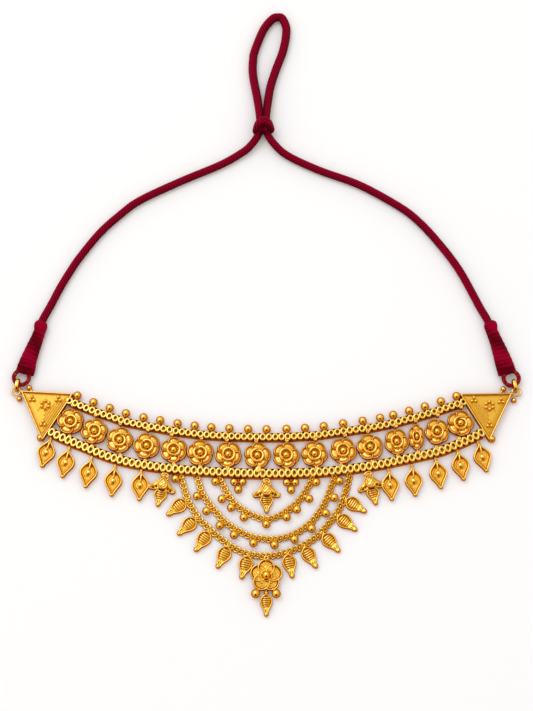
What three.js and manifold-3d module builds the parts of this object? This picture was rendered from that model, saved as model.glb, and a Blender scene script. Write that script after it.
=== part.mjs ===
// Choker necklace: a gold front band with drops and chain swags, closed by a red cord.
// Millimetres, +Z up. It lies flat on Z = 0, with the wearer's neck towards +Y from the band
// and the origin under the middle of the gold part.

import * as THREE from 'three';
import { mergeVertices } from 'three/addons/utils/BufferGeometryUtils.js';
import Module from 'manifold-3d';

const wasm = await Module();
wasm.setup();

// ---------------------------------------------------------------- driving dimensions

const GAP = 0.3; // clearance between pieces that touch on the real necklace

const BOX_CHAIN = { upperWidth: 2.3, lowerWidth: 2.6, height: 2.4, steps: 30 };
const UPPER_ROUTE = [
	[ - 64.2, 31.5 ], [ - 58.8, 29.1 ], [ - 51.9, 26.6 ], [ - 44.4, 24.2 ], [ - 35.2, 22.4 ],
	[ - 25.8, 20.8 ], [ - 15.4, 19.8 ], [ 0, 19.3 ], [ 14.9, 19.9 ], [ 24.6, 21.2 ],
	[ 34.4, 22.6 ], [ 41.9, 24.2 ], [ 51.4, 26.8 ], [ 56.6, 28.4 ], [ 64.3, 31.1 ],
];
const LOWER_ROUTE = [
	[ - 69.7, 20.9 ], [ - 66.2, 19.1 ], [ - 58.8, 16 ], [ - 51.2, 12.9 ], [ - 43.6, 10.8 ],
	[ - 34.4, 9.3 ], [ - 24.7, 8.3 ], [ - 12.7, 7.6 ], [ 0, 7.2 ], [ 13.5, 7.5 ], [ 23.2, 8.3 ],
	[ 34.8, 9.9 ], [ 44.9, 12 ], [ 55.7, 14.5 ], [ 60.8, 16.4 ], [ 66.1, 18.7 ], [ 69.8, 20.7 ],
];

const TAB = { x: - 2.5, y: 8.1, width: 2, length: 2.2, thick: 1 }; // bare plate on the lower chain
const BEAD = { radius: 1.3, rise: 2.8, neck: 0.5 }; // rise: above the chain's middle line
const BEAD_X = [
	- 61.8, - 56.5, - 51.1, - 45.8, - 40, - 34.6, - 28.9, - 23.3, - 17.9, - 12, - 5.9, 0.1,
	6.6, 12.6, 18.7, 25, 31.4, 37.1, 41.4, 46.6, 51.8, 57.1, 62.2,
];

const ROSETTE = { lobes: 5, radius: 4.3, base: 1.6, cupRadius: 2.2, cupTop: 2.5, ball: 1.0 };
const LOBE_SHARE = 0.46; // radius of one lobe against the flower's
const CUP = { wall: 0.9, taper: 0.1, lip: 0.7, sunk: 0.3, ballRise: 0.5 };
const ROSETTE_X = [
	- 63.8, - 55.9, - 47.6, - 38.8, - 30, - 21.4, - 12.3, - 2.9, 6.4, 15.6, 24.9, 33.6, 42.3, 48.8,
	55.5, 63.2,
];
const LEANING_ROSETTE = 13; // this one has turned on its link and shows narrower
const LEANING_WIDTH = 0.6;
const BESIDE_WIDTH = 0.92; // its two neighbours are pushed a little narrower too

const LEAF_DROP = { length: 8.2, width: 5.5, thick: 1.7, rim: 0.55, recess: 0.5, eye: 0.55, wire: 0.3 };
const LEAF_DROPS = [ // place along the lower chain, and lean from straight down in degrees
	{ x: - 69.7, lean: - 17 }, { x: - 64.2, lean: - 9.5 }, { x: - 56.5, lean: - 9.5 },
	{ x: - 48.9, lean: - 6.5 }, { x: - 40.3, lean: - 5.5 }, { x: 39.7, lean: 7 },
	{ x: 47.2, lean: 5.5 }, { x: 55, lean: 6.5 }, { x: 62.1, lean: 10.5 }, { x: 69, lean: 11.5 },
];

const BELL = {
	bail: 1.0, bailDrop: 0.5, petal: 3.6, petalWidth: 3.6, petalDrop: 1.5, side: 4, sideWidth: 2.9,
	sideTurn: 0.9, sideThick: 1.8, frontZ: 1, height: 3.2, stem: 0.7, stemEnd: 3, stemZ: 1.2, leafDrop: 4.6,
};
const BELL_LEAF = { length: 5.4, width: 4.1, thick: 1.5, tip: 0.75 };
const BELL_DROPS = [ { x: - 32.3, lean: - 13 }, { x: 0.1, lean: 0 }, { x: 32.4, lean: 14 } ];

const CLUSTER = { ball: 1.2, spread: 1.45, drop: 2.4, bar: 0.45 };
const CLUSTER_X = [ - 8.9, 7.9 ];

const SWAG = { radius: 0.8, ball: 1.2, neck: 0.4 };
const SWAGS = [ // route of the chain, and the middles of the balls that hang on it
	{
		name: 'swag_inner', steps: 22,
		route: [
			[ - 15, 5.5 ], [ - 12.3, 0.4 ], [ - 10, - 2.5 ], [ - 6.8, - 5 ], [ - 3.1, - 6.8 ],
			[ 0, - 7.6 ], [ 3.4, - 6.8 ], [ 7, - 4.6 ], [ 10.1, - 2 ], [ 12.4, 1 ], [ 14.9, 5.4 ],
		],
		balls: [
			[ - 16.4, 4.7 ], [ - 14.3, - 1.1 ], [ - 11.3, - 3.9 ], [ - 7.2, - 7.1 ], [ 0, - 9.3 ],
			[ 6.5, - 7 ], [ 9.8, - 4.5 ], [ 13.8, - 1 ], [ 16.1, 4.5 ],
		],
	},
	{
		name: 'swag_middle', steps: 28,
		route: [
			[ - 22.3, 6.1 ], [ - 20.7, 1 ], [ - 18.1, - 2.8 ], [ - 15.7, - 5.8 ], [ - 13.1, - 8.6 ],
			[ - 8.5, - 11.6 ], [ - 4.3, - 13.4 ], [ - 0.6, - 14 ], [ 2.9, - 14.1 ], [ 7.2, - 13.1 ],
			[ 11, - 11.3 ], [ 14.4, - 8.6 ], [ 16.9, - 5.5 ], [ 19, - 2 ], [ 20.5, 1.7 ], [ 22.1, 6 ],
		],
		balls: [
			[ - 22.3, - 0.1 ], [ - 19.2, - 5 ], [ - 14.9, - 9.7 ], [ - 10.3, - 12.8 ], [ - 4.1, - 15.4 ],
			[ 2.6, - 16 ], [ 9, - 14.2 ], [ 14.5, - 10.7 ], [ 19.1, - 5.7 ], [ 21.9, - 0.6 ], [ 23.6, 4.9 ],
		],
	},
	{
		name: 'swag_outer', steps: 34,
		route: [
			[ - 27.7, 6.5 ], [ - 25.3, - 1 ], [ - 22.2, - 6.5 ], [ - 19.1, - 9.9 ], [ - 14.4, - 14 ],
			[ - 10.8, - 16.6 ], [ - 6.8, - 18.5 ], [ - 1.3, - 19.5 ], [ 4.3, - 19 ], [ 9.3, - 17.3 ],
			[ 12.9, - 15.5 ], [ 16.3, - 13.2 ], [ 18.8, - 10.5 ], [ 21.6, - 7.1 ], [ 23.8, - 3.6 ],
			[ 25.7, 1.7 ], [ 26.9, 6.5 ],
		],
		balls: [ [ - 29.3, 5.6 ] ],
	},
];

const SWAG_LEAF = { length: 6.3, width: 4, thick: 1.5, tip: 0.7 };
const SWAG_LEAVES = [ // where each meets the outer swag, and its lean from straight down
	{ x: - 25.3, y: - 1, lean: - 51 }, { x: - 22.1, y: - 6.9, lean: - 47 },
	{ x: - 17.9, y: - 11.1, lean: - 35 }, { x: - 11.8, y: - 15.9, lean: - 27 },
	{ x: - 5.5, y: - 18.8, lean: - 17 }, { x: 6.6, y: - 18.3, lean: 12 },
	{ x: 11.7, y: - 16.1, lean: 31 }, { x: 17.7, y: - 11.9, lean: 42 },
	{ x: 22.3, y: - 6.1, lean: 52 }, { x: 25, y: - 0.7, lean: 57 },
];

const FLOWER = { y: - 25.9, lobes: 5, radius: 5.2, base: 1.6, cupRadius: 2.3, cupTop: 2.4, ball: 1.25 };
const FLOWER_BALLS = [
	{ x: - 3.4, y: - 5.8, r: 1.3 }, { x: 3.1, y: - 5.8, r: 1.3 }, { x: 0, y: - 5.3, r: 0.65 },
];
const FLOWER_BAR = { radius: 0.4, share: 0.6, y: - 3.9 }; // from each ball to the rim above it
const PENDANT_LEAF = { top: - 32.2, length: 5.9, width: 3.9, thick: 1.5, tip: 0.7 };

const PLATE = { thick: 2.4, rim: 0.5, recess: 0.4, ridges: 5, ridgeStep: 0.047, ridgeWidth: 0.3 };
const GRANULE = { radius: 0.5, trio: 0.75, ring: 1.2 };
const EDGE_BALL = { radius: 0.75, z: 0.8, bar: 0.3, corner: 0.7, cornerZ: 1.2 };
const END_RING = { radius: 1.15, wire: 0.3, z: 1.3 };
const WRAPPED_RING = { radius: 2.5, wire: 0.65, z: 1.75 };
const LINK = { width: 0.7, wall: 0.5, height: 3.2 };
const THREAD_WRAP = { height: 3.2, bevel: 0.8, bevelSize: 0.6 };

const SIDES = [
	{
		name: 'left',
		corners: { outer: [ - 80.1, 34.8 ], inner: [ - 63.9, 33.9 ], bottom: [ - 72.6, 18 ] },
		knob: { x: - 73.4, y: 19.3, r: 1.2 },
		edgeBalls: [
			{ x: - 77.7, y: 36.2, fromX: - 77.6, fromY: 33.9 },
			{ x: - 80.8, y: 32.4, fromX: - 78.2, fromY: 33.2 },
		],
		trios: [ [ - 76.5, 32.1 ], [ - 67.9, 32 ], [ - 72.6, 23.8 ] ],
		granuleRing: [ - 72.1, 30.2 ],
		endRing: [ - 82, 35 ],
		link: { from: [ - 81.9, 34.9 ], to: [ - 81.3, 38.9 ] },
		wrappedRing: [ - 80.3, 39.5 ],
		wrap: [ // right edge from the collar down, then the left edge back up
			[ - 72.7, 58.3 ], [ - 72.9, 55.7 ], [ - 73.8, 52.5 ], [ - 75.5, 45.2 ], [ - 76.1, 40.3 ],
			[ - 79.1, 40.8 ], [ - 81.1, 41.1 ], [ - 82.4, 42.3 ], [ - 81.1, 45.2 ], [ - 78.1, 52.1 ],
			[ - 76.7, 55.7 ], [ - 76.7, 57.8 ], [ - 75.4, 59.2 ], [ - 73.6, 59.3 ],
		],
	},
	{
		name: 'right',
		corners: { outer: [ 80.3, 34 ], inner: [ 63.9, 33.8 ], bottom: [ 72.3, 17.9 ] },
		knob: { x: 73.2, y: 18.8, r: 1.25 },
		edgeBalls: [
			{ x: 77.7, y: 35.8, fromX: 77.7, fromY: 33.3 },
			{ x: 81, y: 31.9, fromX: 78.3, fromY: 32.6 },
		],
		trios: [ [ 67.8, 31.8 ], [ 76.7, 31.4 ], [ 72.6, 23.4 ] ],
		granuleRing: [ 72.8, 29.9 ],
		endRing: [ 81.9, 34.7 ],
		link: { from: [ 81.8, 34.6 ], to: [ 81, 38.7 ] },
		wrappedRing: [ 80.3, 39.2 ],
		wrap: [
			[ 72.2, 58.3 ], [ 71.9, 57 ], [ 73.2, 55.3 ], [ 73.6, 51.5 ], [ 74.9, 45.2 ], [ 75.9, 40.9 ],
			[ 76.7, 39.7 ], [ 79.1, 40.7 ], [ 81.1, 41 ], [ 82.2, 42.3 ], [ 80.9, 45.2 ], [ 77.9, 52.1 ],
			[ 76.1, 55.7 ], [ 76.1, 57.8 ], [ 74.9, 59.1 ], [ 73.2, 59.2 ],
		],
	},
];

const CORD = { diameter: 2.56, sides: 8 };
const CORD_ROUTES = [ // [x, y, z] of the cord's middle line
	{
		name: 'cord_left', steps: 17,
		route: [
			[ - 73.8, 60.2, 1.4 ], [ - 71.8, 64.2, 1.3 ], [ - 68.7, 70.8, 1.3 ], [ - 65.6, 76.5, 1.3 ],
			[ - 62.4, 81.7, 1.3 ], [ - 56, 90.3, 1.3 ], [ - 49.4, 96.8, 1.3 ], [ - 42.7, 102.1, 1.3 ],
			[ - 36, 105.8, 1.3 ], [ - 29.3, 108.9, 1.3 ], [ - 22.6, 111.9, 1.3 ], [ - 15.8, 115, 1.3 ],
			[ - 9, 119, 1.5 ], [ - 5.4, 121.5, 1.9 ], [ - 2.5, 125.7, 2.8 ],
		],
	},
	{
		name: 'cord_loop', steps: 15,
		route: [
			[ - 2.3, 131.6, 2.8 ], [ - 3.2, 138.9, 1.9 ], [ - 4.5, 146.7, 1.4 ], [ - 4.8, 150.5, 1.3 ],
			[ - 4.6, 154.4, 1.3 ], [ - 3.9, 158.2, 1.3 ], [ - 1, 165.9, 1.3 ], [ 2.1, 170.1, 1.3 ],
			[ 3.9, 170.8, 1.3 ], [ 5.6, 170.3, 1.3 ], [ 7, 165.9, 1.3 ], [ 6.7, 162, 1.3 ],
			[ 5.9, 158.2, 1.3 ], [ 3.4, 150.5, 1.4 ], [ 1.5, 142.8, 1.7 ], [ 0.4, 131.6, 2.8 ],
		],
	},
	{
		name: 'cord_right', steps: 17,
		route: [
			[ 0.4, 125.7, 2.8 ], [ 3.3, 121.5, 1.9 ], [ 8.1, 117.9, 1.5 ], [ 11.5, 116.1, 1.3 ],
			[ 18.2, 113, 1.3 ], [ 25, 110.5, 1.3 ], [ 31.8, 107.6, 1.3 ], [ 38.5, 104.4, 1.3 ],
			[ 45.1, 99.7, 1.3 ], [ 51.8, 94, 1.3 ], [ 58.3, 86.2, 1.3 ], [ 64.7, 76.7, 1.3 ],
			[ 67.8, 70.7, 1.3 ], [ 70.9, 64, 1.3 ], [ 72.9, 60.2, 1.4 ],
		],
	},
];
const KNOT = { x: - 1, y: 128.8, width: 7.4, length: 7.6, height: 6.2 };

// ---------------------------------------------------------------- solids

function toSolid( geometry ) {

	const bare = geometry.clone();
	bare.deleteAttribute( 'normal' );
	bare.deleteAttribute( 'uv' );
	const merged = mergeVertices( bare, 1e-4 );
	return new wasm.Manifold( new wasm.Mesh( {
		numProp: 3,
		vertProperties: Float32Array.from( merged.attributes.position.array ),
		triVerts: Uint32Array.from( merged.index.array ),
	} ) );

}

function toGeometry( solid ) {

	const mesh = solid.getMesh();
	const geometry = new THREE.BufferGeometry();
	geometry.setAttribute( 'position', new THREE.Float32BufferAttribute( mesh.vertProperties, 3 ) );
	geometry.setIndex( Array.from( mesh.triVerts ) );
	geometry.computeVertexNormals();
	return geometry;

}

function join( ...geometries ) {

	return toGeometry( geometries.map( toSolid ).reduce( ( all, next ) => all.add( next ) ) );

}

function cut( geometry, ...tools ) {

	const solid = tools.map( toSolid ).reduce( ( rest, tool ) => rest.subtract( tool ), toSolid( geometry ) );
	return toGeometry( solid );

}

// ---------------------------------------------------------------- basic shapes

function ball( radius, x, y, z, around = 6, down = 3 ) {

	return new THREE.SphereGeometry( radius, around, down ).rotateX( Math.PI / 2 ).translate( x, y, z );

}

// A round bar from one point to another, at one height.
function bar( radius, from, to, z, sides = 5 ) {

	const dx = to[ 0 ] - from[ 0 ], dy = to[ 1 ] - from[ 1 ];
	return new THREE.CylinderGeometry( radius, radius, Math.hypot( dx, dy ), sides )
		.rotateZ( Math.atan2( dy, dx ) - Math.PI / 2 )
		.translate( ( from[ 0 ] + to[ 0 ] ) / 2, ( from[ 1 ] + to[ 1 ] ) / 2, z );

}

function ring( radius, wire, x, y, z, around = 12, across = 6 ) {

	return new THREE.TorusGeometry( radius, wire, across, around ).translate( x, y, z );

}

function plate( shape, bottom, top, curveSegments = 3 ) {

	return new THREE.ExtrudeGeometry( shape, { depth: top - bottom, bevelEnabled: false, curveSegments } )
		.translate( 0, 0, bottom );

}

function tube( curve, section, steps ) {

	return new THREE.ExtrudeGeometry( section, { steps, bevelEnabled: false, extrudePath: curve } );

}

function roundSection( radius, sides ) {

	const shape = new THREE.Shape();
	for ( let i = 0; i < sides; i ++ ) {

		const a = ( i + 0.5 ) / sides * 2 * Math.PI;
		if ( i === 0 ) shape.moveTo( radius * Math.cos( a ), radius * Math.sin( a ) );
		else shape.lineTo( radius * Math.cos( a ), radius * Math.sin( a ) );

	}

	return shape;

}

function polygon( corners ) {

	return new THREE.Shape( corners.map( ( [ x, y ] ) => new THREE.Vector2( x, y ) ) );

}

// A smooth route through [x, y] or [x, y, z] points; a flat route runs at height z.
function route( points, z = 0 ) {

	return new THREE.CatmullRomCurve3( points.map( ( p ) => new THREE.Vector3( p[ 0 ], p[ 1 ], p[ 2 ] ?? z ) ) );

}

// The point of a left-to-right route at a given x, by halving, and the unit normal on its +Y side.
function atX( curve, x ) {

	let low = 0, high = 1;
	for ( let i = 0; i < 30; i ++ ) {

		const middle = ( low + high ) / 2;
		if ( curve.getPoint( middle ).x < x ) low = middle;
		else high = middle;

	}

	const tangent = curve.getTangent( low );
	return { point: curve.getPoint( low ), normal: new THREE.Vector2( - tangent.y, tangent.x ).normalize() };

}

// The outline of a flower: equal round lobes whose middles lie on a circle.
function lobedShape( lobes, radius ) {

	const lobe = radius * LOBE_SHARE;
	const reach = radius - lobe;
	const half = Math.PI / lobes;
	// the arc of each lobe ends where it meets its neighbour, on the line between the two
	const arc = half + Math.asin( Math.min( 1, reach * Math.sin( half ) / lobe ) );
	const shape = new THREE.Shape();
	for ( let i = 0; i < lobes; i ++ ) {

		const a = Math.PI / 2 + i * 2 * half;
		shape.absarc( reach * Math.cos( a ), reach * Math.sin( a ), lobe, a - arc, a + arc, false );

	}

	return shape;

}

// A leaf that starts at the origin and points down -Y, widest at the given share of its length.
function leafShape( length, width, widest = 0.5, tipWidth = 0.25 ) {

	const w = width / 2, tip = w * tipWidth;
	const shape = new THREE.Shape();
	shape.moveTo( 0, 0 );
	shape.bezierCurveTo( - w * 0.6, - length * 0.06, - w, - length * widest * 0.6, - w, - length * widest );
	shape.quadraticCurveTo( - w, - length * ( widest + 0.2 ), - tip, - length );
	shape.lineTo( tip, - length );
	shape.quadraticCurveTo( w, - length * ( widest + 0.2 ), w, - length * widest );
	shape.bezierCurveTo( w, - length * widest * 0.6, w * 0.6, - length * 0.06, 0, 0 );
	return shape;

}

function leaned( geometry, lean, x, y ) {

	return geometry.rotateZ( THREE.MathUtils.degToRad( lean ) ).translate( x, y, 0 );

}

// ---------------------------------------------------------------- pieces

const upperCurve = route( UPPER_ROUTE, BOX_CHAIN.height / 2 );
const lowerCurve = route( LOWER_ROUTE, BOX_CHAIN.height / 2 );

function boxChain( curve, width ) {

	const w = width / 2, h = BOX_CHAIN.height / 2;
	return tube( curve, polygon( [ [ - h, - w ], [ h, - w ], [ h, w ], [ - h, w ] ] ), BOX_CHAIN.steps );

}

function upperChain() {

	const beads = BEAD_X.flatMap( ( x ) => {

		// the bead stands off the chain along its normal, so the foot of its neck is looked up first
		const foot = atX( upperCurve, x );
		const point = atX( upperCurve, x - foot.normal.x * BEAD.rise );
		const cx = point.point.x + point.normal.x * BEAD.rise;
		const cy = point.point.y + point.normal.y * BEAD.rise;
		return [
			ball( BEAD.radius, cx, cy, BEAD.radius ),
			bar( BEAD.neck, [ point.point.x, point.point.y ], [ cx, cy ], BEAD.radius, 3 ),
		];

	} );
	return join( boxChain( upperCurve, BOX_CHAIN.upperWidth ), ...beads );

}

function lowerChain() {

	const { x, y, width, length, thick } = TAB;
	const tab = new THREE.BoxGeometry( width, length, thick ).translate( x, y, BOX_CHAIN.height - 0.3 * thick );
	return join( boxChain( lowerCurve, BOX_CHAIN.lowerWidth ), tab );

}

// A round collar with a flat foot, narrowing towards its top.
function cup( radius, bottom, top ) {

	const { wall, taper, lip } = CUP;
	const profile = [
		[ radius - wall, bottom ], [ radius, bottom ], [ radius - taper, top ], [ radius - lip, top ],
	];
	const points = [ ...profile, profile[ 0 ] ].map( ( [ r, z ] ) => new THREE.Vector2( r, z ) );
	return new THREE.LatheGeometry( points, 8 ).rotateX( Math.PI / 2 );

}

function flowerHead( { lobes, radius, base, cupRadius, cupTop, ball: ballRadius } ) {

	return join(
		plate( lobedShape( lobes, radius ), 0, base, 2 ),
		cup( cupRadius, base - CUP.sunk, cupTop ),
		ball( ballRadius, 0, 0, base + CUP.ballRise ),
	);

}

function rosette( index ) {

	const x = ROSETTE_X[ index ];
	const y = ( atX( upperCurve, x ).point.y + atX( lowerCurve, x ).point.y ) / 2;
	const beside = Math.abs( index - LEANING_ROSETTE ) === 1;
	const width = index === LEANING_ROSETTE ? LEANING_WIDTH : beside ? BESIDE_WIDTH : 1;
	return flowerHead( ROSETTE ).scale( width, 1, 1 ).translate( x, y, 0 );

}

// The middle of an eye or ball of a given radius that hangs just under the lower chain.
function underChain( x, radius ) {

	const { point, normal } = atX( lowerCurve, x );
	const drop = BOX_CHAIN.lowerWidth / 2 + GAP + radius;
	return { x: point.x - normal.x * drop, y: point.y - normal.y * drop };

}

function leafDrop( { x, lean } ) {

	const { length, width, thick, rim, recess, eye, wire } = LEAF_DROP;
	const body = plate( leafShape( length, width ), 0, thick );
	const hollow = plate( leafShape( length - 4 * rim, width - 2 * rim ), thick - recess, thick + 1, 2 )
		.translate( 0, - 1.8 * rim, 0 );
	const leaf = cut( body, hollow ).translate( 0, - eye, 0 );
	const place = underChain( x, eye + wire );
	return leaned( join( leaf, ring( eye, wire, 0, 0, thick / 2, 7, 4 ) ), lean, place.x, place.y );

}

function stripedLeaf( { length, width, thick, tip } ) {

	return join(
		plate( leafShape( length, width, 0.42, 0.35 ), 0, thick, 3 ),
		ball( tip, 0, - length - tip * 0.3, tip ),
	);

}

function bellDrop( { x, lean } ) {

	const side = ( turn ) => plate( leafShape( BELL.side, BELL.sideWidth, 0.62, 0.5 ), 0, BELL.sideThick, 3 )
		.rotateZ( turn ).translate( 0, - BELL.petalDrop, 0 );
	const front = plate( leafShape( BELL.petal, BELL.petalWidth, 0.6, 0.6 ), BELL.frontZ, BELL.height, 3 )
		.translate( 0, - BELL.petalDrop, 0 );
	const body = join(
		ball( BELL.bail, 0, - BELL.bailDrop, BELL.bail ),
		bar( BELL.stem, [ 0, - BELL.bailDrop ], [ 0, - BELL.stemEnd ], BELL.stemZ ),
		side( - BELL.sideTurn ), side( BELL.sideTurn ), front,
		stripedLeaf( BELL_LEAF ).translate( 0, - BELL.leafDrop, 0 ),
	);
	const place = underChain( x, BELL.bail - BELL.bailDrop );
	return leaned( body, lean, place.x, place.y );

}

function ballCluster( x ) {

	const { ball: r, spread, drop, bar: thick } = CLUSTER;
	const place = underChain( x, r );
	return join(
		ball( r, - spread, 0, r ), ball( r, spread, 0, r ), ball( r, 0, - drop, r ),
		bar( thick, [ - spread, 0 ], [ spread, 0 ], r ),
		bar( thick, [ - spread, 0 ], [ 0, - drop ], r ),
		bar( thick, [ spread, 0 ], [ 0, - drop ], r ),
	).translate( place.x, place.y, 0 );

}

// Each ball of a swag is joined to the nearest place on its chain by a short neck.
function swag( { route: points, balls, steps } ) {

	const curve = route( points, SWAG.radius );
	const places = curve.getPoints( 200 );
	const parts = balls.flatMap( ( [ x, y ] ) => {

		const away = ( p ) => Math.hypot( p.x - x, p.y - y );
		const foot = places.reduce( ( best, p ) => ( away( p ) < away( best ) ? p : best ) );
		const neck = bar( SWAG.neck, [ foot.x, foot.y ], [ x, y ], SWAG.radius, 3 );
		return [ ball( SWAG.ball, x, y, SWAG.ball ), neck ];

	} );
	return join( tube( curve, roundSection( SWAG.radius, 6 ), steps ), ...parts );

}

function swagLeaf( { x, y, lean } ) {

	const leaf = stripedLeaf( SWAG_LEAF ).translate( 0, - SWAG.radius - GAP, 0 );
	return leaned( leaf, lean, x, y );

}

function centreFlower() {

	const balls = FLOWER_BALLS.flatMap( ( { x, y, r } ) => [
		ball( r, x, y, r ), bar( FLOWER_BAR.radius, [ x, y ], [ x * FLOWER_BAR.share, FLOWER_BAR.y ], r ),
	] );
	return join( flowerHead( FLOWER ), ...balls ).translate( 0, FLOWER.y, 0 );

}

function pendantLeaf() {

	return stripedLeaf( PENDANT_LEAF ).translate( 0, PENDANT_LEAF.top, 0 );

}

// The point a given share of the way from p to q.
function mix( p, q, share ) {

	return [ p[ 0 ] + ( q[ 0 ] - p[ 0 ] ) * share, p[ 1 ] + ( q[ 1 ] - p[ 1 ] ) * share ];

}

// Corners moved in from the edges of a triangle, each towards the middle of its inscribed circle.
function inset( { outer, inner, bottom }, distance ) {

	const apart = ( p, q ) => Math.hypot( p[ 0 ] - q[ 0 ], p[ 1 ] - q[ 1 ] );
	const a = apart( inner, bottom ), b = apart( outer, bottom ), c = apart( outer, inner );
	const round = a + b + c, half = round / 2;
	const centre = [ 0, 1 ].map( ( i ) => ( outer[ i ] * a + inner[ i ] * b + bottom[ i ] * c ) / round );
	const inradius = Math.sqrt( half * ( half - a ) * ( half - b ) * ( half - c ) ) / half;
	return [ outer, inner, bottom ].map( ( corner ) => mix( corner, centre, distance / inradius ) );

}

// Fine bars inside the rim, parallel to the edge that faces the rosettes.
function ridges( corners ) {

	const [ outer, inner, bottom ] = inset( corners, PLATE.rim );
	return Array.from( { length: PLATE.ridges }, ( _, i ) => {

		const from = mix( inner, outer, ( i + 1 ) * PLATE.ridgeStep );
		const to = mix( bottom, outer, ( i + 1 ) * PLATE.ridgeStep );
		// each ridge stops short of the rim at both ends, the inner ones more
		const start = mix( from, to, 0.3 + 0.02 * i );
		const end = mix( from, to, 0.94 - 0.05 * i );
		return bar( PLATE.ridgeWidth / 2, start, end, PLATE.thick - PLATE.recess, 4 );

	} );

}

function granules( { trios, granuleRing } ) {

	const z = PLATE.thick - PLATE.recess + 0.1;
	const around = ( [ x, y ], count, radius ) => Array.from( { length: count }, ( _, i ) => {

		const a = Math.PI / 2 + i / count * 2 * Math.PI;
		return ball( GRANULE.radius, x + radius * Math.cos( a ), y + radius * Math.sin( a ), z, 5, 2 );

	} );
	return [
		...trios.flatMap( ( place ) => around( place, 3, GRANULE.trio ) ),
		...around( granuleRing, 6, GRANULE.ring ),
	];

}

function endPlate( side ) {

	const { outer, inner, bottom } = side.corners;
	const body = plate( polygon( [ outer, bottom, inner ] ), 0, PLATE.thick );
	const inside = polygon( inset( side.corners, PLATE.rim ) );
	const hollow = plate( inside, PLATE.thick - PLATE.recess, PLATE.thick + 1 );
	const edgeBalls = side.edgeBalls.flatMap( ( { x, y, fromX, fromY } ) => [
		ball( EDGE_BALL.radius, x, y, EDGE_BALL.z ),
		bar( EDGE_BALL.bar, [ fromX, fromY ], [ x, y ], EDGE_BALL.z, 4 ),
	] );
	return join(
		cut( body, hollow ), ...ridges( side.corners ), ...granules( side ),
		ball( side.knob.r, side.knob.x, side.knob.y, side.knob.r ),
		ring( END_RING.radius, END_RING.wire, ...side.endRing, END_RING.z ),
		ball( EDGE_BALL.corner, outer[ 0 ], outer[ 1 ], EDGE_BALL.cornerZ ),
		...edgeBalls,
	);

}

// A flat band bent to an upright oval, through the end ring and the wrapped ring.
function jumpRing( { link } ) {

	const dx = link.to[ 0 ] - link.from[ 0 ], dy = link.to[ 1 ] - link.from[ 1 ];
	const oval = ( length, height ) => {

		const r = Math.min( length, height ) / 2, flat = length / 2 - r;
		const shape = new THREE.Shape();
		shape.absarc( flat, 0, r, - Math.PI / 2, Math.PI / 2, false );
		shape.absarc( - flat, 0, r, Math.PI / 2, 3 * Math.PI / 2, false );
		return shape;

	};

	const length = Math.hypot( dx, dy ) + LINK.wall;
	const shape = oval( length, LINK.height );
	const eye = oval( length - 2 * LINK.wall, LINK.height - 2 * LINK.wall );
	shape.holes.push( new THREE.Path( eye.getPoints( 4 ) ) );
	return new THREE.ExtrudeGeometry( shape, { depth: LINK.width, bevelEnabled: false, curveSegments: 4 } )
		.translate( 0, 0, - LINK.width / 2 )
		.rotateX( Math.PI / 2 )
		.rotateZ( Math.atan2( dy, dx ) )
		.translate( ( link.from[ 0 ] + link.to[ 0 ] ) / 2, ( link.from[ 1 ] + link.to[ 1 ] ) / 2, LINK.height / 2 );

}

function wrappedRing( side, extra = 0 ) {

	return ring( WRAPPED_RING.radius, WRAPPED_RING.wire + extra, ...side.wrappedRing, WRAPPED_RING.z, 14, 5 );

}

// The winding is flat and widens towards the ring, whose upper side it holds.
function threadWrap( side ) {

	const { height, bevel, bevelSize } = THREAD_WRAP;
	const body = new THREE.ExtrudeGeometry( polygon( side.wrap ), {
		depth: height - 2 * bevel, bevelThickness: bevel, bevelSize, bevelOffset: - bevelSize, bevelSegments: 1,
	} ).translate( 0, 0, bevel );
	return cut( body, wrappedRing( side, GAP + 0.1 ) );

}

function cordKnot( extra = 0 ) {

	return new THREE.SphereGeometry( 0.5, 10, 7 ).rotateX( Math.PI / 2 )
		.scale( KNOT.width + 2 * extra, KNOT.length + 2 * extra, KNOT.height + 2 * extra )
		.translate( KNOT.x, KNOT.y, KNOT.height / 2 );

}

// Each run of the cord stops a gap short of the knot it goes into.
function cordRun( { route: points, steps } ) {

	const run = tube( route( points ), roundSection( CORD.diameter / 2, CORD.sides ), steps );
	return cut( run, cordKnot( GAP ) );

}

// ---------------------------------------------------------------- assembly

const group = new THREE.Group();

function add( name, geometry, look ) {

	const mesh = new THREE.Mesh( geometry, new THREE.MeshStandardMaterial( look ) );
	mesh.name = name;
	group.add( mesh );

}

const gold = { color: 0xe8b23a, roughness: 0.3, metalness: 1 };
const red = { color: 0x7d0023, roughness: 0.8, metalness: 0 };
const numbered = ( name, index ) => `${ name }_${ String( index + 1 ).padStart( 2, '0' ) }`;

add( 'upper_chain', upperChain(), gold );
add( 'lower_chain', lowerChain(), gold );
ROSETTE_X.forEach( ( _, i ) => add( numbered( 'rosette', i ), rosette( i ), gold ) );
LEAF_DROPS.forEach( ( drop, i ) => add( numbered( 'leaf_drop', i ), leafDrop( drop ), gold ) );
BELL_DROPS.forEach( ( drop, i ) => add( numbered( 'bell_drop', i ), bellDrop( drop ), gold ) );
CLUSTER_X.forEach( ( x, i ) => add( numbered( 'ball_cluster', i ), ballCluster( x ), gold ) );
SWAGS.forEach( ( each ) => add( each.name, swag( each ), gold ) );
SWAG_LEAVES.forEach( ( leaf, i ) => add( numbered( 'swag_leaf', i ), swagLeaf( leaf ), gold ) );
add( 'centre_flower', centreFlower(), gold );
add( 'pendant_leaf', pendantLeaf(), gold );

for ( const side of SIDES ) {

	add( `end_plate_${ side.name }`, endPlate( side ), gold );
	add( `jump_ring_${ side.name }`, jumpRing( side ), gold );
	add( `wrapped_ring_${ side.name }`, wrappedRing( side ), red );
	add( `thread_wrap_${ side.name }`, threadWrap( side ), red );

}

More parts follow.
